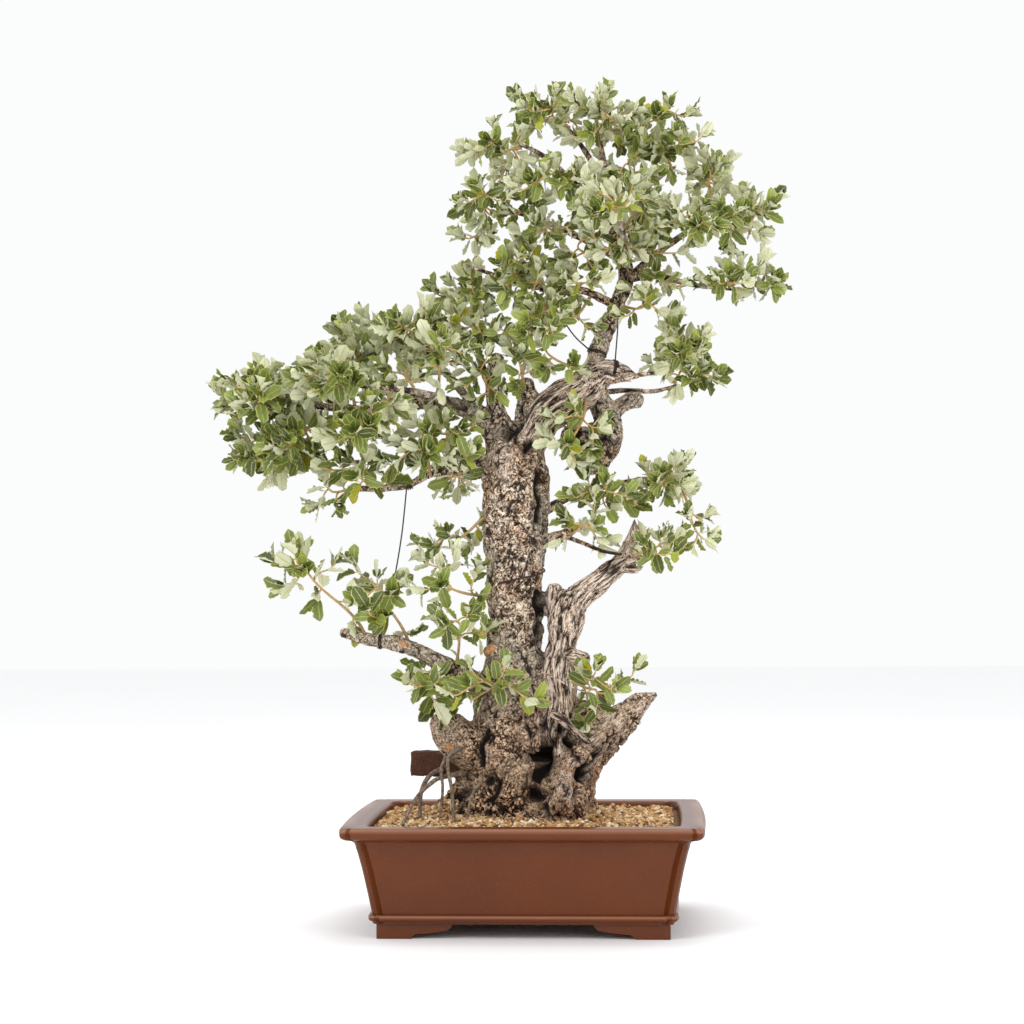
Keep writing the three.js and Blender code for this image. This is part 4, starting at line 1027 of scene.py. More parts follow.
def wood_kinds(points, edges):
    """The limb's radius at each corner of the skin, and how bare, sawn and burled the wood is there."""
    centres, radii, kinds, alongs, axes = lookup_samples()
    found = nearest_samples(points, centres, radii)
    offset = points - centres[found]
    run, across, over = (np.einsum("ij,ij->i", offset, axes[found, i]) for i in range(3))
    grain = np.stack([across, over, alongs[found] + run], axis=1) / GRAIN_SCALE
    kind = kinds[found]

    def of_kind(name):
        return (kind == KINDS.index(name)).astype(float)

    patchy = np.array([noise.noise(Vector(p) / 15) for p in points])
    patchy = np.clip(0.05 + 2.6 * patchy, 0, 0.9)
    return radii[found], {
        "grain": grain,
        "bare": spread_over(of_kind("dead") + patchy * of_kind("weathered"), edges, 4),
        "sawn": spread_over(of_kind("sawn") * (points[:, 0] < SAWN_FROM_X), edges, 3),
        "burl": spread_over(of_kind("burl"), edges, 8),
    }


def wood_relief(points, radii, marks, crack_depth):
    """How far the wood stands out at each corner of the skin, and how deep in a crack the corner lies."""
    height, crack = np.zeros(len(points)), np.zeros(len(points))
    for i, place in enumerate(map(Vector, points)):
        bare = marks["bare"][i]
        bark_height, bark_crack = bark_relief(place, crack_depth)
        dead_height, dead_crack = 0.0, 0.0
        if bare > 0.02:
            dead_height, dead_crack = dead_relief(Vector(marks["grain"][i]), place)
        share = min(1.0, bare)
        calm = 1 - 0.6 * marks["burl"][i] - 0.8 * marks["sawn"][i]
        height[i] = ((1 - share) * bark_height * calm + share * dead_height) * min(1.0, radii[i] / 16)
        crack[i] = (1 - share) * bark_crack * calm + share * dead_crack
    return height, crack


def heavy_limbs(settings):
    """The skin of the trunk and heavy limbs with its relief, and what its finish reads."""
    skin = heavy_wood(settings)
    points, normals, edges, faces = skin_arrays(skin.data)
    discard(skin)
    radii, marks = wood_kinds(points, edges)
    height, crack = wood_relief(points, radii, marks, settings.crack_depth)
    front = np.clip(-normals[:, 1] * 3, 0, 1)
    hollow, cut = np.zeros(len(points)), np.zeros(len(points))
    # Hollows and fissures are dented in and marked for painted shade, which the finish paints near black.
    for start, end, wide, deep in [((x, z), (x, z), wide, deep) for x, z, wide, deep in SHADED_HOLLOWS] + SHADED_FISSURES:
        near = mark_nearness(points, front, start, end, wide)
        height -= near * deep
        hollow = np.maximum(hollow, np.clip(near * 1.7 - 0.4, 0, 1))
    for x, z, wide in WORN_MARKS:
        near = mark_nearness(points, front, (x, z), (x, z), wide)
        marks["bare"] = np.maximum(marks["bare"], near)
    for x, z, wide in CUT_ENDS:
        near = mark_nearness(points, front, (x, z), (x, z), wide)
        cut = np.maximum(cut, np.clip(near * 5 - 2, 0, 1))
    height *= 1 - cut
    marks.update(hollow=hollow, cut=cut, crack=crack * (1 - cut))
    above_soil = np.clip((points[:, 2] - RELIEF_FROM_Z) / RELIEF_FADE, 0, 1)
    return points + normals * (height * above_soil)[:, None], [faces], marks


def thin_limbs():
    """The thin limbs and roots as slightly uneven bars, and what their finish reads."""
    bars, marks = [], {"grain": [], "bare": [], "root": [], "crack": []}
    for kind, course in THIN_LIMBS.values():
        path, radii = smooth_path(course, THIN_STEP)
        draw = np.random.default_rng(int(abs(course[0][0]) * 31 + course[0][2]))
        bar, groups = tube(path, radii * THIN_SHARE, THIN_AROUND, round_end=True)
        wobble = np.array([noise.noise(Vector(p) / 9) for p in bar])
        middle = np.repeat(path, THIN_AROUND, axis=0)
        count = len(middle)
        uneven = 0.22 * wobble[:count] + draw.uniform(-0.05, 0.05, count)
        bar[:count] += (bar[:count] - middle) * uneven[:, None]
        bars.append((bar, groups))
        marks["grain"].append(bar / GRAIN_SCALE)
        marks["bare"].append(np.full(len(bar), float(kind == "dead")))
        marks["root"].append(np.full(len(bar), float(kind == "root")))
        marks["crack"].append(np.clip(0.4 * (kind == "bark") - wobble * 1.4, 0, 0.8))
    return *merged(bars), {name: np.concatenate(found) for name, found in marks.items()}


def make_trunk(settings):
    """The whole woody body, its heavy and thin limbs in one piece."""
    noise.seed_set(BARK_SEED)
    points, groups, marks = heavy_limbs(settings)
    thin_points, thin_groups, thin_marks = thin_limbs()
    wood = new_object("trunk_and_limbs", *merged([(points, groups), (thin_points, thin_groups)]))
    for name in ("bare", "crack", "hollow", "cut", "sawn", "root", "grain"):
        heavy = marks.get(name, np.zeros(len(points)))
        thin = thin_marks.get(name, np.zeros(len(thin_points)))
        store(wood.data, name, np.concatenate([heavy, thin]))
    finish_piece(wood, [wood_finish(settings)], ["trunk"])


# The leaves

LEAF_ROWS = [
    # place along the blade from its stalk to its tip, half its width there, how far its edge leans
    # forwards, and how far its edge lifts, as shares of the blade's length and half width
    (-0.13, 0.07, 0.0, 0.0), (0.0, 0.1, 0.0, 0.0), (0.08, 0.6, 0.0, 0.0), (0.22, 0.96, 0.04, 0.1),
    (0.35, 0.86, 0.0, -0.04), (0.48, 1.0, 0.04, 0.12), (0.61, 0.84, 0.0, -0.04), (0.74, 0.87, 0.04, 0.12),
    (0.89, 0.54, 0.0, 0.0), (1.0, 0.05, 0.0, 0.0),
]
LEAF_COLUMNS = (-1.0, 0.0, 1.0)
LEAF_THICK = 0.5
STALK_SHARE = 0.13
UPWARD = np.array([0.0, 0.0, 1.0])
# Leaves on the left are longer than those of the crown and the right.
LEFT_SIDE_X, LEFT_LEAF_SHARE, RIGHT_LEAF_SHARE = -110, 1.02, 0.86

# How a spray grows, dense in the crown and loose on the lower branches:
# shoots: its share of the number of shoots
# leaf: its share of the leaves' length
# rosette: millimetres from a shoot's tip at which its closest leaves stand
# first, gap, reach: where the single leaves start, and shares of the settings for them
# turn: how far the tops of its leaves turn to the light
DENSE = {"shoots": 1.0, "leaf": 1.0, "rosette": [0.0, 0.5, 1.1, 1.9, 3.0, 4.4],
         "first": 7.0, "gap": 1.0, "reach": 1.0, "turn": np.zeros(3)}
LOOSE = {"shoots": 0.65, "leaf": 1.16, "rosette": [0.0, 1.2, 3.0],
         "first": 9.0, "gap": 1.9, "reach": 1.7, "turn": np.array([-0.1, -0.75, 0.15])}
LOOSE_SPRAYS = {f"spray_{number}" for number in (10, 13, *range(33, 42))}
# How far the leaves of a spray stand from the middle of its node.
SPRAY_SHIFTS = {
    "spray_08": (-6, 0, 24), "spray_13": (6, 0, 10), "spray_19": (-10, 0, 2), "spray_24": (-18, 0, -14),
    "spray_32": (-8, 0, 6), "spray_36": (0, 26, 0), "spray_41": (-10, 0, -10),
}
# Shoots end this share of the way out to the form of their node, and bend to the side of the light.
TARGET_PULL, TARGET_CHOICES = 0.88, 220
LIGHT_SIDE = np.array([-0.08, -0.42, 0.0])
# Radius at the foot and tip of a spray's main twig and of its shoots, and how young each is there.
MAIN_TWIG, MAIN_YOUTH = (2.2, 1.4), (0.25, 0.8)
SHOOT_TWIG, SHOOT_YOUTH = (1.35, 0.85), (0.6, 1.0)
TWIG_AROUND = 5
# The last angle between a shoot and its leaves, near its tip and further down.
TIP_OPENING, SIDE_OPENING = (14, 40), (36, 72)
# Old, full and bright yellow leaves, the last partly yellowing and partly painted light shining through
# them: the range of tones of each, and its share of all.
LEAF_TONES, LEAF_TONE_SHARES = ((0.0, 0.45), (0.4, 0.72), (0.78, 1.0)), (0.6, 0.34, 0.06)
INNER_SHOOTS = [
    # the middle and reach of leafy growth close to the limbs, and how many shoots it has
    ((-110, -25, 597), (60, 40, 26), 10), ((-50, -25, 668), (34, 30, 34), 7),
    ((30, -20, 690), (44, 30, 38), 8), ((58, -38, 588), (36, 20, 44), 9),
    ((68, -10, 822), (46, 36, 34), 7), ((165, -10, 790), (44, 34, 40), 7),
    ((5, 0, 872), (28, 28, 24), 4), ((-98, -35, 416), (48, 28, 44), 8),
    ((-237, -20, 528), (24, 22, 28), 4), ((68, -20, 484), (38, 22, 38), 6),
    ((205, -10, 474), (20, 20, 30), 4), ((168, 0, 982), (40, 28, 14), 5),
    ((255, -6, 842), (38, 26, 16), 6), ((150, -12, 748), (38, 28, 20), 4),
    ((-146, -32, 668), (38, 26, 16), 6), ((-120, -34, 572), (60, 28, 18), 8),
    ((-5, -28, 674), (22, 18, 28), 4), ((-342, -10, 596), (18, 18, 34), 4),
    ((14, -34, 772), (52, 22, 22), 9), ((72, -36, 776), (26, 18, 18), 5),
    ((24, -24, 846), (40, 20, 16), 5), ((132, -44, 856), (40, 22, 46), 10),
    ((116, -40, 826), (36, 16, 22), 7), ((127, -10, 920), (36, 26, 24), 6),
    ((60, -20, 738), (30, 18, 16), 4), ((96, -16, 968), (56, 34, 24), 7),
]
SPRAY_SEED, INNER_SEED, INNER_FORM_SEED = 101, 700, 900


def leaf_template():
    """A flat blade of unit length and half width.

    Gives each corner as x, y, lift and its place along and across the blade, then which layer each
    corner lies in, and the faces of the top, the back and the ends. Each row has an edge, a midrib and
    an edge above, and one corner of the midrib below.
    """
    corners, layer = [], []
    for along, half, lean, lift in LEAF_ROWS:
        for across in LEAF_COLUMNS:
            edge = abs(across)
            corners.append((along + lean * edge, across * half, lift * edge, along, across))
            layer.append(1.0 - edge)
        corners.append((along, 0.0, 0, along, 0.0))
        layer.append(-1.0)
    rows, width = len(LEAF_ROWS), len(LEAF_COLUMNS) + 1
    top, back = [], []
    for base in range(0, (rows - 1) * width, width):
        above = base + width
        for i in range(2):
            top.append((base + i, above + i, above + i + 1, base + i + 1))
        for i, j in ((0, 3), (3, 2)):
            back.append((base + i, base + j, above + j, above + i))
    last = (rows - 1) * width
    ends = [[0, 1, 2, 3], [last + 3, last + 2, last + 1, last]]
    return np.array(corners), np.array(layer), np.array(top), np.array(back), np.array(ends)


def bent_leaf(template, layer, look):
    """A blade's corners, bent, cupped and waved, with x along it, y across and z out of its top."""
    along, across, lift = template[:, 0], template[:, 1], template[:, 2]
    x = along * look["length"]
    y = across * look["half"]
    z = lift * look["half"] * look["spine"]
    z = z + look["cup"] * np.abs(across) ** 1.5 * look["half"]
    z = z - look["droop"] * np.clip(along, 0, 1) ** 2 * look["length"]
    z = z + look["wave"] * look["half"] * np.sin(along * 9 + look["phase"]) * across
    z = z + layer * LEAF_THICK / 2
    turn = look["roll"] * along
    return np.stack([x, y * np.cos(turn) - z * np.sin(turn), y * np.sin(turn) + z * np.cos(turn)], axis=1)


def unit(vector):
    """A vector's direction with length 1."""
    return vector / max(np.linalg.norm(vector), 1e-9)


def spread_targets(points, count, draw):
    """Places for shoots to end, far apart within the form that the points outline."""
    middle = points.mean(axis=0)
    pairs = draw.integers(0, len(points), (TARGET_CHOICES, 2))
    share = draw.uniform(0.1, 0.9, (TARGET_CHOICES, 1))
    candidates = points[pairs[:, 0]] * share + points[pairs[:, 1]] * (1 - share)
    chosen = [candidates[np.linalg.norm(candidates - middle, axis=1).argmax()]]
    gaps = np.linalg.norm(candidates - chosen[0], axis=1)
    while len(chosen) < count:
        chosen.append(candidates[gaps.argmax()])
        gaps = np.minimum(gaps, np.linalg.norm(candidates - chosen[-1], axis=1))
    return middle + (np.array(chosen) - middle) * TARGET_PULL


def bent_path(start, leaving, end, arriving, count):
    """A curve that leaves start in one direction and comes to end in another."""
    reach = np.linalg.norm(end - start)
    first = start + leaving * reach * 0.4
    second = end - arriving * reach * 0.4
    t = np.linspace(0, 1, count)[:, None]
    return ((1 - t) ** 3 * start + 3 * t * (1 - t) ** 2 * first
            + 3 * t ** 2 * (1 - t) * second + t ** 3 * end)


class Spray:
    """The twigs and leaves of one spray, gathered before its piece is made."""

    def __init__(self, seed, side_share, habit):
        self.draw = np.random.default_rng(seed)
        self.habit = habit
        self.leaf_share = side_share * habit["leaf"]
        self.bars, self.bar_tones = [], []
        self.leaves, self.tones = [], []

    def add_twig(self, path, thickness, youth):
        self.bars.append(tube(path, np.linspace(*thickness, len(path)), TWIG_AROUND))
        self.bar_tones.append(np.repeat(np.linspace(*youth, len(path)), TWIG_AROUND))

    def add_leaf(self, foot, heading, facing, look):
        heading = unit(heading)
        facing = unit(facing - facing.dot(heading) * heading)
        self.leaves.append((foot, heading, np.cross(facing, heading), facing, look))

    def grow_shoot(self, path, settings):
        """Leaves along the outer part of a shoot and a rosette at its tip."""
        draw, habit = self.draw, self.habit
        back = path[::-1]
        run = run_along(back)
        turn = draw.uniform(0, 2 * math.pi)
        vigour = draw.uniform(0.85, 1.12)
        leafy = min(run[-1] * 0.85, settings.leafy_length) * habit["reach"]
        rosette = habit["rosette"]
        singles = np.arange(habit["first"], leafy, settings.leaf_gap * habit["gap"])
        for order, place in enumerate([*rosette, *singles]):
            foot = np.array([np.interp(place, run, back[:, axis]) for axis in range(3)])
            at = int(np.searchsorted(run, place))
            axis_here = unit(back[max(0, at - 1)] - back[min(len(back) - 1, at + 1)])
            turn += 2.4 + draw.uniform(-0.35, 0.35)
            side = unit(np.cross(axis_here, np.array([0.3, 0.9, 0.2])))
            radial = side * math.cos(turn) + np.cross(axis_here, side) * math.sin(turn)
            opening = math.radians(draw.uniform(*(TIP_OPENING if order < len(rosette) else SIDE_OPENING)))
            heading = axis_here * math.cos(opening) + radial * math.sin(opening)
            facing = axis_here * math.sin(opening) - radial * math.cos(opening)
            facing = unit(facing) + np.array([0, 0, draw.uniform(-0.15, 0.45)]) + habit["turn"]
            self.add_leaf(foot, heading, facing, self.leaf_look(order, vigour, settings))

    def leaf_look(self, order, vigour, settings):
        """The size and bends of one leaf, and its tone."""
        draw = self.draw
        size = vigour * (draw.uniform(0.6, 0.85) if order == 0 else draw.uniform(0.8, 1.15))
        length = settings.leaf_length / MM * size * self.leaf_share
        self.tones.append(draw.choice([draw.uniform(*tones) for tones in LEAF_TONES], p=LEAF_TONE_SHARES))
        return {
            "length": length, "half": length * draw.uniform(0.25, 0.33), "spine": draw.uniform(0.6, 1.6),
            "cup": draw.uniform(0.05, 0.65), "droop": draw.uniform(-0.16, 0.24),
            "wave": draw.uniform(0.0, 0.22), "phase": draw.uniform(0, 6.3), "roll": draw.uniform(-0.5, 0.5),
        }


def leafy_mesh(spray, name, blade):
    """The mesh of a spray, its twigs first and then its blades, and the finish of each face."""
    template, layer, top, back, ends = blade
    bar_points, bar_groups = merged(spray.bars)
    blade_points = []
    for foot, heading, side, facing, look in spray.leaves:
        local = bent_leaf(template, layer, look)
        stalk = heading * STALK_SHARE * look["length"]
        blade_points.append(foot + local @ np.stack([heading, side, facing]) + stalk)
    starts = len(bar_points) + len(template) * np.arange(len(spray.leaves))
    groups = list(bar_groups)
    for faces in (top, back, ends):
        groups.append((faces[None, :, :] + starts[:, None, None]).reshape(-1, faces.shape[1]))
    made = new_object(name, np.concatenate([bar_points] + blade_points), groups)
    counts = [sum(len(g) for g in bar_groups), *(len(g) for g in groups[-3:])]
    for kept, on_bars, on_blades in (
            ("tone", np.concatenate(spray.bar_tones), np.repeat(np.array(spray.tones), len(template))),
            ("along", np.zeros(len(bar_points)), np.tile(template[:, 3], len(spray.leaves))),
            ("across", np.zeros(len(bar_points)), np.tile(template[:, 4], len(spray.leaves)))):
        store(made.data, kept, np.concatenate([on_bars, on_blades]))
    return made, np.repeat([0, 1, 2, 0], counts)


def crease_between_finishes(mesh):
    """Keeps the edge sharp where faces of two finishes meet."""
    loop_edges = np.zeros(len(mesh.loops), int)
    mesh.loops.foreach_get("edge_index", loop_edges)
    totals = np.zeros(len(mesh.polygons), int)
    mesh.polygons.foreach_get("loop_total", totals)
    slots = np.zeros(len(mesh.polygons), int)
    mesh.polygons.foreach_get("material_index", slots)
    loop_slots = np.repeat(slots, totals)
    low = np.full(len(mesh.edges), 9)
    high = np.full(len(mesh.edges), -1)
    np.minimum.at(low, loop_edges, loop_slots)
    np.maximum.at(high, loop_edges, loop_slots)
    sharp = mesh.attributes.get("sharp_edge") or mesh.attributes.new("sharp_edge", "BOOLEAN", "EDGE")
    sharp.data.foreach_set("value", low != high)


def grow_spray(points, seed, shoots, settings, wood_tree, habit):
    """Twigs and leaves within the form that the points outline, rooted in the nearest wood."""
    spray = Spray(seed, LEFT_LEAF_SHARE if points[:, 0].mean() < LEFT_SIDE_X else RIGHT_LEAF_SHARE, habit)
    touches = [wood_tree.find_nearest(Vector(in_frame(point))) for point in points]
    surface, normal = min(touches, key=lambda touch: touch[3])[:2]
    surface, inward = from_frame(np.array(surface)), -np.array(normal)
    root = surface + inward * 4.0
    middle = points.mean(axis=0)
    outward = unit(middle - surface)
    main = bent_path(root, unit(outward - inward * 0.6), middle, unit(outward + UPWARD * 0.3), 9)
    spray.add_twig(main, MAIN_TWIG, MAIN_YOUTH)
    skeleton = [(place, unit(step)) for place, step in zip(main[2:], np.diff(main, axis=0)[1:])]
    targets = spread_targets(points, shoots, spray.draw)
    for target in sorted(targets, key=lambda t: np.linalg.norm(t - root)):
        place, course = min(skeleton, key=lambda s: np.linalg.norm(s[0] - target)
                            + 12 * max(0.0, -s[1].dot(unit(target - s[0]))))
        leaving = unit(course + 0.8 * unit(target - place) + spray.draw.normal(0, 0.2, 3))
        arriving = unit(unit(target - middle) * 0.7 + UPWARD * settings.light_pull + LIGHT_SIDE
                        + spray.draw.normal(0, 0.22, 3))
        path = bent_path(place, leaving, target, arriving, 7)
        spray.add_twig(path, SHOOT_TWIG, SHOOT_YOUTH)
        skeleton += [(at, unit(step)) for at, step in zip(path[1:4], np.diff(path, axis=0)[:3])]
        spray.grow_shoot(path, settings)
    return spray


def make_sprays(settings):
    """The sprays in place of their nodes, and the leafy growth close to the limbs."""
    finishes = [twig_finish(), leaf_top_finish(settings), leaf_back_finish(settings)]
    blade = leaf_template()
    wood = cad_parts["trunk"].data
    wood_tree = BVHTree.FromPolygons([v.co for v in wood.vertices], [p.vertices for p in wood.polygons])

    def make_spray(name, points, seed, shoots, habit, stands_for):
        spray = grow_spray(points, seed, shoots, settings, wood_tree, habit)
        made, face_finishes = leafy_mesh(spray, name, blade)
        finish_piece(made, finishes, stands_for, face_finishes)
        crease_between_finishes(made.data)

    for order, name in enumerate(SPRAY_NODES):
        points = corner_places(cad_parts[name].data) + SPRAY_SHIFTS.get(name, (0, 0, 0))
        habit = LOOSE if name in LOOSE_SPRAYS else DENSE
        shoots = round(settings.shoots * habit["shoots"])
        make_spray("leafy_" + name, points, SPRAY_SEED + order, shoots, habit, [name])
    for order, (middle, reach, shoots) in enumerate(INNER_SHOOTS):
        draw = np.random.default_rng(INNER_FORM_SEED + order)
        points = draw.normal(0, 0.55, (60, 3)).clip(-1, 1) * reach + middle
        make_spray(f"inner_leaves_{order + 1:02d}", points, INNER_SEED + order, shoots, DENSE, ())


# The wires

GUY_WIRES = {
    # the course of each taut wire, then the limbs that its ends are wound round
    "guy_wire_left": ([(-145, -8, 541), (-151.5, -20, 470), (-162, -32, 405), (-174, -43, 352.5)],
                      [("under_left", (-143, -6, 534)), ("low_left", (-175, -43, 343))]),
    "guy_wire_centre": ([(27, -12, 766), (42, -2, 742), (60, 5, 715), (78, 9, 698)],
                        [("inner_left", (23, -12, 772)), ("leader", (88, 11, 694))]),
    "guy_wire_leader": ([(117, 10, 822), (117, 0, 780), (114, -3, 730), (110, 3, 684)],
                        [("leader", (115, 12, 828)), ("jin_top", (108, 4, 674))]),
}
WIRE_RADIUS, WIRE_AROUND = 0.9, 8
# Turns at each end of a taut wire, and how far apart they lie.
END_TURNS, END_SPACING = 2.5, 2.2
# The wire round the trunk: its height there, turns, spacing and radius.
TRUNK_TIE, TIE_TURNS, TIE_SPACING, TIE_RADIUS = (-14, 5, 410), 1.25, 46, 1.1
ALL_LIMBS = {**HEAVY_LIMBS, **THIN_LIMBS}


def winding(limb, place, turns, spacing):
    """A wire's turns round a limb near a place on it."""
    path, radii = smooth_path(ALL_LIMBS[limb][1], 1.0)
    radii = radii * (THIN_SHARE if limb in THIN_LIMBS else 1.0)
    tangents, sides, overs = frames_along(path)
    run = run_along(path)
    middle = run[np.linalg.norm(path - np.asarray(place, float), axis=1).argmin()]
    points = []
    for angle in np.linspace(0, turns * 2 * math.pi, int(turns * 20)):
        at = middle + (angle / (2 * math.pi) - turns / 2) * spacing
        i = int(np.searchsorted(run, np.clip(at, 0, run[-1] - 1e-3)))
        out = math.cos(angle) * sides[i] + math.sin(angle) * overs[i]
        points.append(path[i] + out * (radii[i] + WIRE_RADIUS * 0.9))
    return np.array(points)


def wire(path, radius):
    """The corners and faces of a round wire."""
    return tube(path, np.full(len(path), radius), WIRE_AROUND)


def make_wires():
    """The three taut wires with their windings, and the wire round the trunk."""
    finish = wire_finish()
    for name, (course, ends) in GUY_WIRES.items():
        path, _ = smooth_path([(*p, WIRE_RADIUS) for p in course], 6.0)
        loops = [winding(limb, place, END_TURNS, END_SPACING) for limb, place in ends]
        bars = [wire(run, WIRE_RADIUS) for run in (path, *loops)]
        made = turned_out(new_object("wound_" + name, *merged(bars)))
        finish_piece(made, [finish], [name])
    loop = winding("bole", TRUNK_TIE, TIE_TURNS, TIE_SPACING)
    made = turned_out(new_object("trunk_wire", *wire(loop, TIE_RADIUS)))
    finish_piece(made, [finish])


# The stage

# The camera as fitted to the pot's edges: it turns by the first angle round the point CAMERA_AXIS_X on
# the pot's long axis, and lengths are in millimetres.
CAMERA_TURN, CAMERA_PITCH, CAMERA_ROLL = math.radians(3.5558), 0.0252, -0.0065
CAMERA_FAR, CAMERA_HEIGHT, CAMERA_AXIS_X = 2751.68, 429.974, -17.5918
FOCAL_PIXELS, PICTURE_PIXELS, SENSOR = 2248.65, 1024, 36.0
CLIP_END = 50
FLOOR_REACH = 7000.0
LIGHT_TARGET = (0, 0, 0.5)
KEY_PLACE, FILL_PLACE, TOP_PLACE = (-1.6, -2.2, 2.4), (2.0, -2.0, 1.3), (0.1, 0.4, 2.6)
KEY_SIZE, FILL_SIZE, TOP_SIZE = 1.6, 1.8, 1.6


def make_camera():
    """The camera that the photograph was taken with."""
    ahead = Vector((-math.sin(CAMERA_TURN) * math.cos(CAMERA_PITCH),
                    math.cos(CAMERA_TURN) * math.cos(CAMERA_PITCH), math.sin(CAMERA_PITCH)))
    right = Vector((math.cos(CAMERA_TURN), math.sin(CAMERA_TURN), 0))
    up = right.cross(ahead)
    rolled = right * math.cos(CAMERA_ROLL) + up * math.sin(CAMERA_ROLL)
    raised = up * math.cos(CAMERA_ROLL) - right * math.sin(CAMERA_ROLL)
    data = bpy.data.cameras.new("camera")
    data.sensor_width = SENSOR
    data.lens = FOCAL_PIXELS / PICTURE_PIXELS * SENSOR
    data.clip_end = CLIP_END
    camera = bpy.data.objects.new("camera", data)
    bpy.context.scene.collection.objects.link(camera)
    camera.matrix_world = Matrix((
        (rolled.x, raised.x, -ahead.x, 0), (rolled.y, raised.y, -ahead.y, 0),
        (rolled.z, raised.z, -ahead.z, 0), (0, 0, 0, 1)))
    camera.location = in_frame((CAMERA_AXIS_X + math.sin(CAMERA_TURN) * CAMERA_FAR,
                                -math.cos(CAMERA_TURN) * CAMERA_FAR, CAMERA_HEIGHT))
    bpy.context.scene.camera = camera


def add_soft_light(name, place, size, power):
    """A round lamp that points at the middle of the tree."""
    data = bpy.data.lights.new(name, "AREA")
    data.shape = "DISK"
    data.size = size
    data.energy = power
    light = bpy.data.objects.new(name, data)
    bpy.context.scene.collection.objects.link(light)
    light.location = place
    light.rotation_euler = (Vector(LIGHT_TARGET) - Vector(place)).to_track_quat("-Z", "Y").to_euler()


def make_stage(settings):
    """The floor, the camera, three lamps and the white room."""
    corners = FLOOR_REACH * np.array([(-1, -1, 0), (1, -1, 0), (1, 1, 0), (-1, 1, 0)])
    floor = new_object("floor", corners, [np.array([[0, 1, 2, 3]])])
    floor.data.materials.append(floor_finish())
    make_camera()
    add_soft_light("key_light", KEY_PLACE, KEY_SIZE, settings.key_power)
    add_soft_light("fill_light", FILL_PLACE, FILL_SIZE, settings.fill_power)
    add_soft_light("top_light", TOP_PLACE, TOP_SIZE, settings.top_power)
    world = bpy.data.worlds.new("white_room")
    world.use_nodes = True
    background = world.node_tree.nodes["Background"]
    background.inputs["Color"].default_value = (*settings.room_colour, 1)
    background.inputs["Strength"].default_value = settings.room_light
    bpy.context.scene.world = world
    bpy.context.scene.view_settings.view_transform = "Standard"


# The add-on

class PotSettings(bpy.types.PropertyGroup):
    clay_dark: FloatVectorProperty(
        name="Dark clay", description="Clay in its darker clouds", default=linear(88, 40, 10),
        subtype="COLOR", min=0, max=1)
    clay_light: FloatVectorProperty(
        name="Light clay", description="Clay in its lighter clouds", default=linear(100, 48, 12),
        subtype="COLOR", min=0, max=1)


class SoilSettings(bpy.types.PropertyGroup):
    grain_gap: FloatProperty(
        name="Grain spacing", description="Millimetres between grains", default=4.1, min=3, max=12)


class WoodSettings(bpy.types.PropertyGroup):
    skin_step: FloatProperty(
        name="Skin step", description="Millimetres between the corners of the wood's skin", default=2.4,
        min=1.5, max=6)
    crack_depth: FloatProperty(
        name="Crack depth", description="Millimetres that bark cracks go in", default=2.0, min=0, max=6)
    bark_warm: FloatVectorProperty(
        name="Warm bark", description="Tint of the bark where it is fresh and brown",
        default=linear(214, 176, 142), subtype="COLOR", min=0, max=1)
    lichen: FloatVectorProperty(
        name="Lichen", description="Pale crust on the bark", default=linear(196, 192, 182),
        subtype="COLOR", min=0, max=1)


class LeafSettings(bpy.types.PropertyGroup):
    leaf_length: FloatProperty(
        name="Leaf length", description="A full leaf without its stalk", default=0.0234, unit="LENGTH",
        min=0.01, max=0.08)
    leaf_gap: FloatProperty(
        name="Leaf gap", description="Millimetres between leaves along a shoot", default=4.6, min=3, max=30)
    leafy_length: FloatProperty(
        name="Leafy length", description="Millimetres of a shoot's end that hold leaves", default=30,
        min=5, max=80)
    shoots: IntProperty(
        name="Shoots", description="Shoots on each spray", default=14, min=2, max=24)
    light_pull: FloatProperty(
        name="Light pull", description="How strongly shoots turn upwards", default=1.6, min=0, max=3)
    leaf_dark: FloatVectorProperty(
        name="Old leaf", description="Top of an old leaf", default=linear(58, 75, 29),
        subtype="COLOR", min=0, max=1)
    leaf_green: FloatVectorProperty(
        name="Full leaf", description="Top of a leaf in its prime", default=linear(116, 134, 60),
        subtype="COLOR", min=0, max=1)
    leaf_vein: FloatVectorProperty(
        name="Vein", description="Midrib, side veins and edge", default=linear(218, 208, 112),
        subtype="COLOR", min=0, max=1)
    leaf_felt: FloatVectorProperty(
        name="Felt", description="Fine pale hairs on a leaf's back", default=linear(244, 242, 222),
        subtype="COLOR", min=0, max=1)


class StageSettings(bpy.types.PropertyGroup):
    key_power: FloatProperty(
        name="Key light", description="Light from the left front", default=32, unit="POWER", min=0,
        max=2000)
    fill_power: FloatProperty(
        name="Fill light", description="Light from the right front", default=16, unit="POWER", min=0,
        max=2000)
    top_power: FloatProperty(
        name="Top light", description="Light from above and behind", default=24, unit="POWER", min=0,
        max=2000)
    room_light: FloatProperty(
        name="Room light", description="Strength of the white room", default=1.0, min=0, max=10)
    room_colour: FloatVectorProperty(
        name="Room colour", description="Colour of the white room", default=(0.97, 0.975, 0.98),
        subtype="COLOR", min=0, max=1)


class BONSAI_OT_stage(bpy.types.Operator):
    """Makes the pale floor, the soft lights and the camera"""
    bl_idname = "bonsai.make_stage"
    bl_label = "Make the stage"

    def execute(self, context):
        make_stage(context.scene.bonsai_stage)
        return {"FINISHED"}


class BONSAI_OT_pot(bpy.types.Operator):
    """Makes the rectangular clay pot with its rim, belt and feet"""
    bl_idname = "bonsai.make_pot"
    bl_label = "Make the pot"

    def execute(self, context):
        make_pot(context.scene.bonsai_pot)
        return {"FINISHED"}


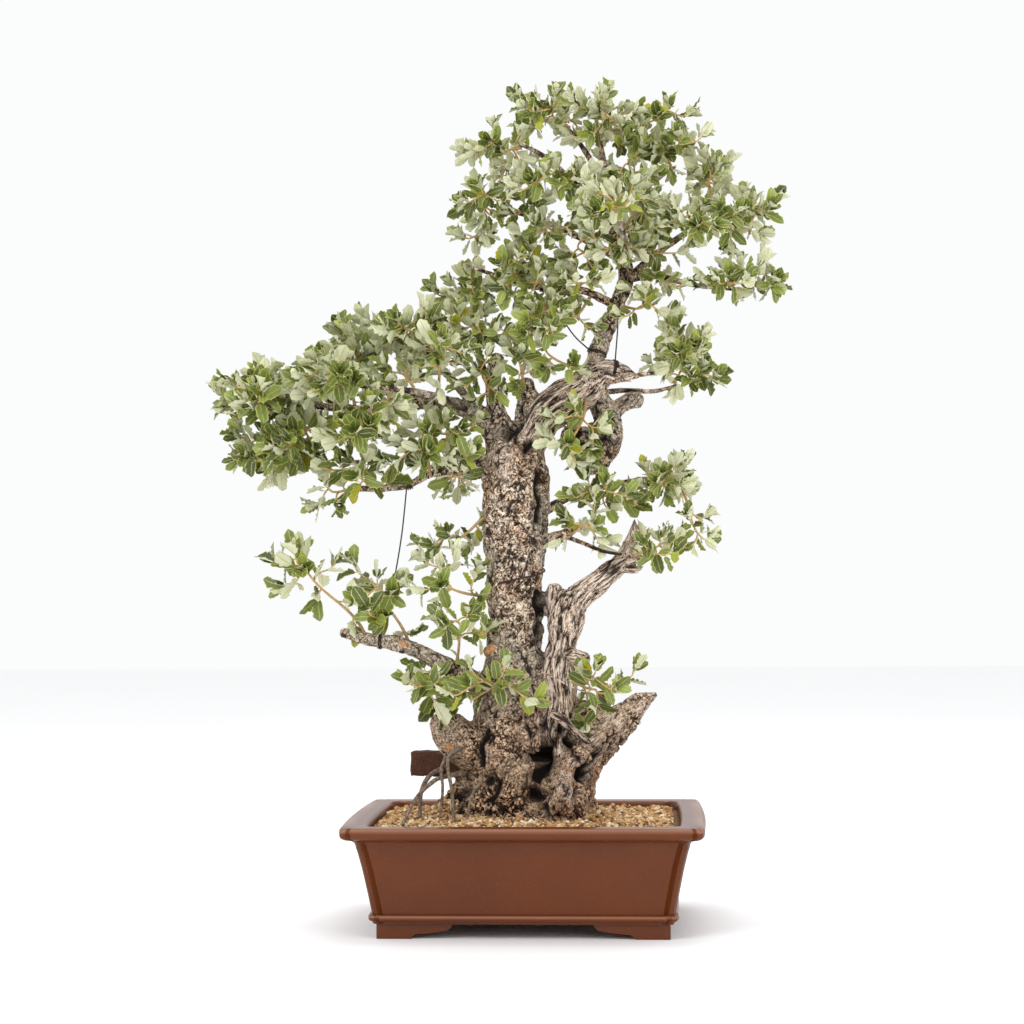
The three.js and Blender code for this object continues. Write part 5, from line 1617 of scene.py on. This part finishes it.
class BONSAI_OT_soil(bpy.types.Operator):
    """Makes the mounded soil and the loose grains on it"""
    bl_idname = "bonsai.make_soil"
    bl_label = "Make the soil"

    def execute(self, context):
        make_soil(context.scene.bonsai_soil)
        return {"FINISHED"}


class BONSAI_OT_trunk(bpy.types.Operator):
    """Makes the trunk, limbs, deadwood and surface roots"""
    bl_idname = "bonsai.make_trunk"
    bl_label = "Make the trunk"

    def execute(self, context):
        make_trunk(context.scene.bonsai_wood)
        return {"FINISHED"}


class BONSAI_OT_sprays(bpy.types.Operator):
    """Makes the leafy sprays"""
    bl_idname = "bonsai.make_sprays"
    bl_label = "Make the leaves"

    def execute(self, context):
        make_sprays(context.scene.bonsai_leaf)
        return {"FINISHED"}


class BONSAI_OT_wires(bpy.types.Operator):
    """Makes the guy wires and the wire round the trunk"""
    bl_idname = "bonsai.make_wires"
    bl_label = "Make the wires"

    def execute(self, context):
        make_wires()
        return {"FINISHED"}


OPERATORS = (BONSAI_OT_stage, BONSAI_OT_pot, BONSAI_OT_soil, BONSAI_OT_trunk, BONSAI_OT_sprays,
             BONSAI_OT_wires)
SETTINGS = {"bonsai_pot": PotSettings, "bonsai_soil": SoilSettings, "bonsai_wood": WoodSettings,
            "bonsai_leaf": LeafSettings, "bonsai_stage": StageSettings}


class BONSAI_PT_panel(bpy.types.Panel):
    bl_idname = "BONSAI_PT_panel"
    bl_label = "Bonsai"
    bl_space_type = "VIEW_3D"
    bl_region_type = "UI"
    bl_category = "Bonsai"

    def draw(self, context):
        for name, group in SETTINGS.items():
            box = self.layout.box()
            for prop in group.__annotations__:
                box.prop(getattr(context.scene, name), prop)
        for operator in OPERATORS:
            self.layout.operator(operator.bl_idname)


def register():
    for group in (*SETTINGS.values(), *OPERATORS, BONSAI_PT_panel):
        bpy.utils.register_class(group)
    for name, group in SETTINGS.items():
        setattr(bpy.types.Scene, name, PointerProperty(type=group))


def unregister():
    for name in SETTINGS:
        delattr(bpy.types.Scene, name)
    for group in reversed((*SETTINGS.values(), *OPERATORS, BONSAI_PT_panel)):
        bpy.utils.unregister_class(group)


def main():
    register()
    bpy.ops.bonsai.make_stage()
    bpy.ops.bonsai.make_pot()
    bpy.ops.bonsai.make_soil()
    bpy.ops.bonsai.make_trunk()
    bpy.ops.bonsai.make_sprays()
    bpy.ops.bonsai.make_wires()
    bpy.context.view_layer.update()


if __name__ == "__main__":
    main()
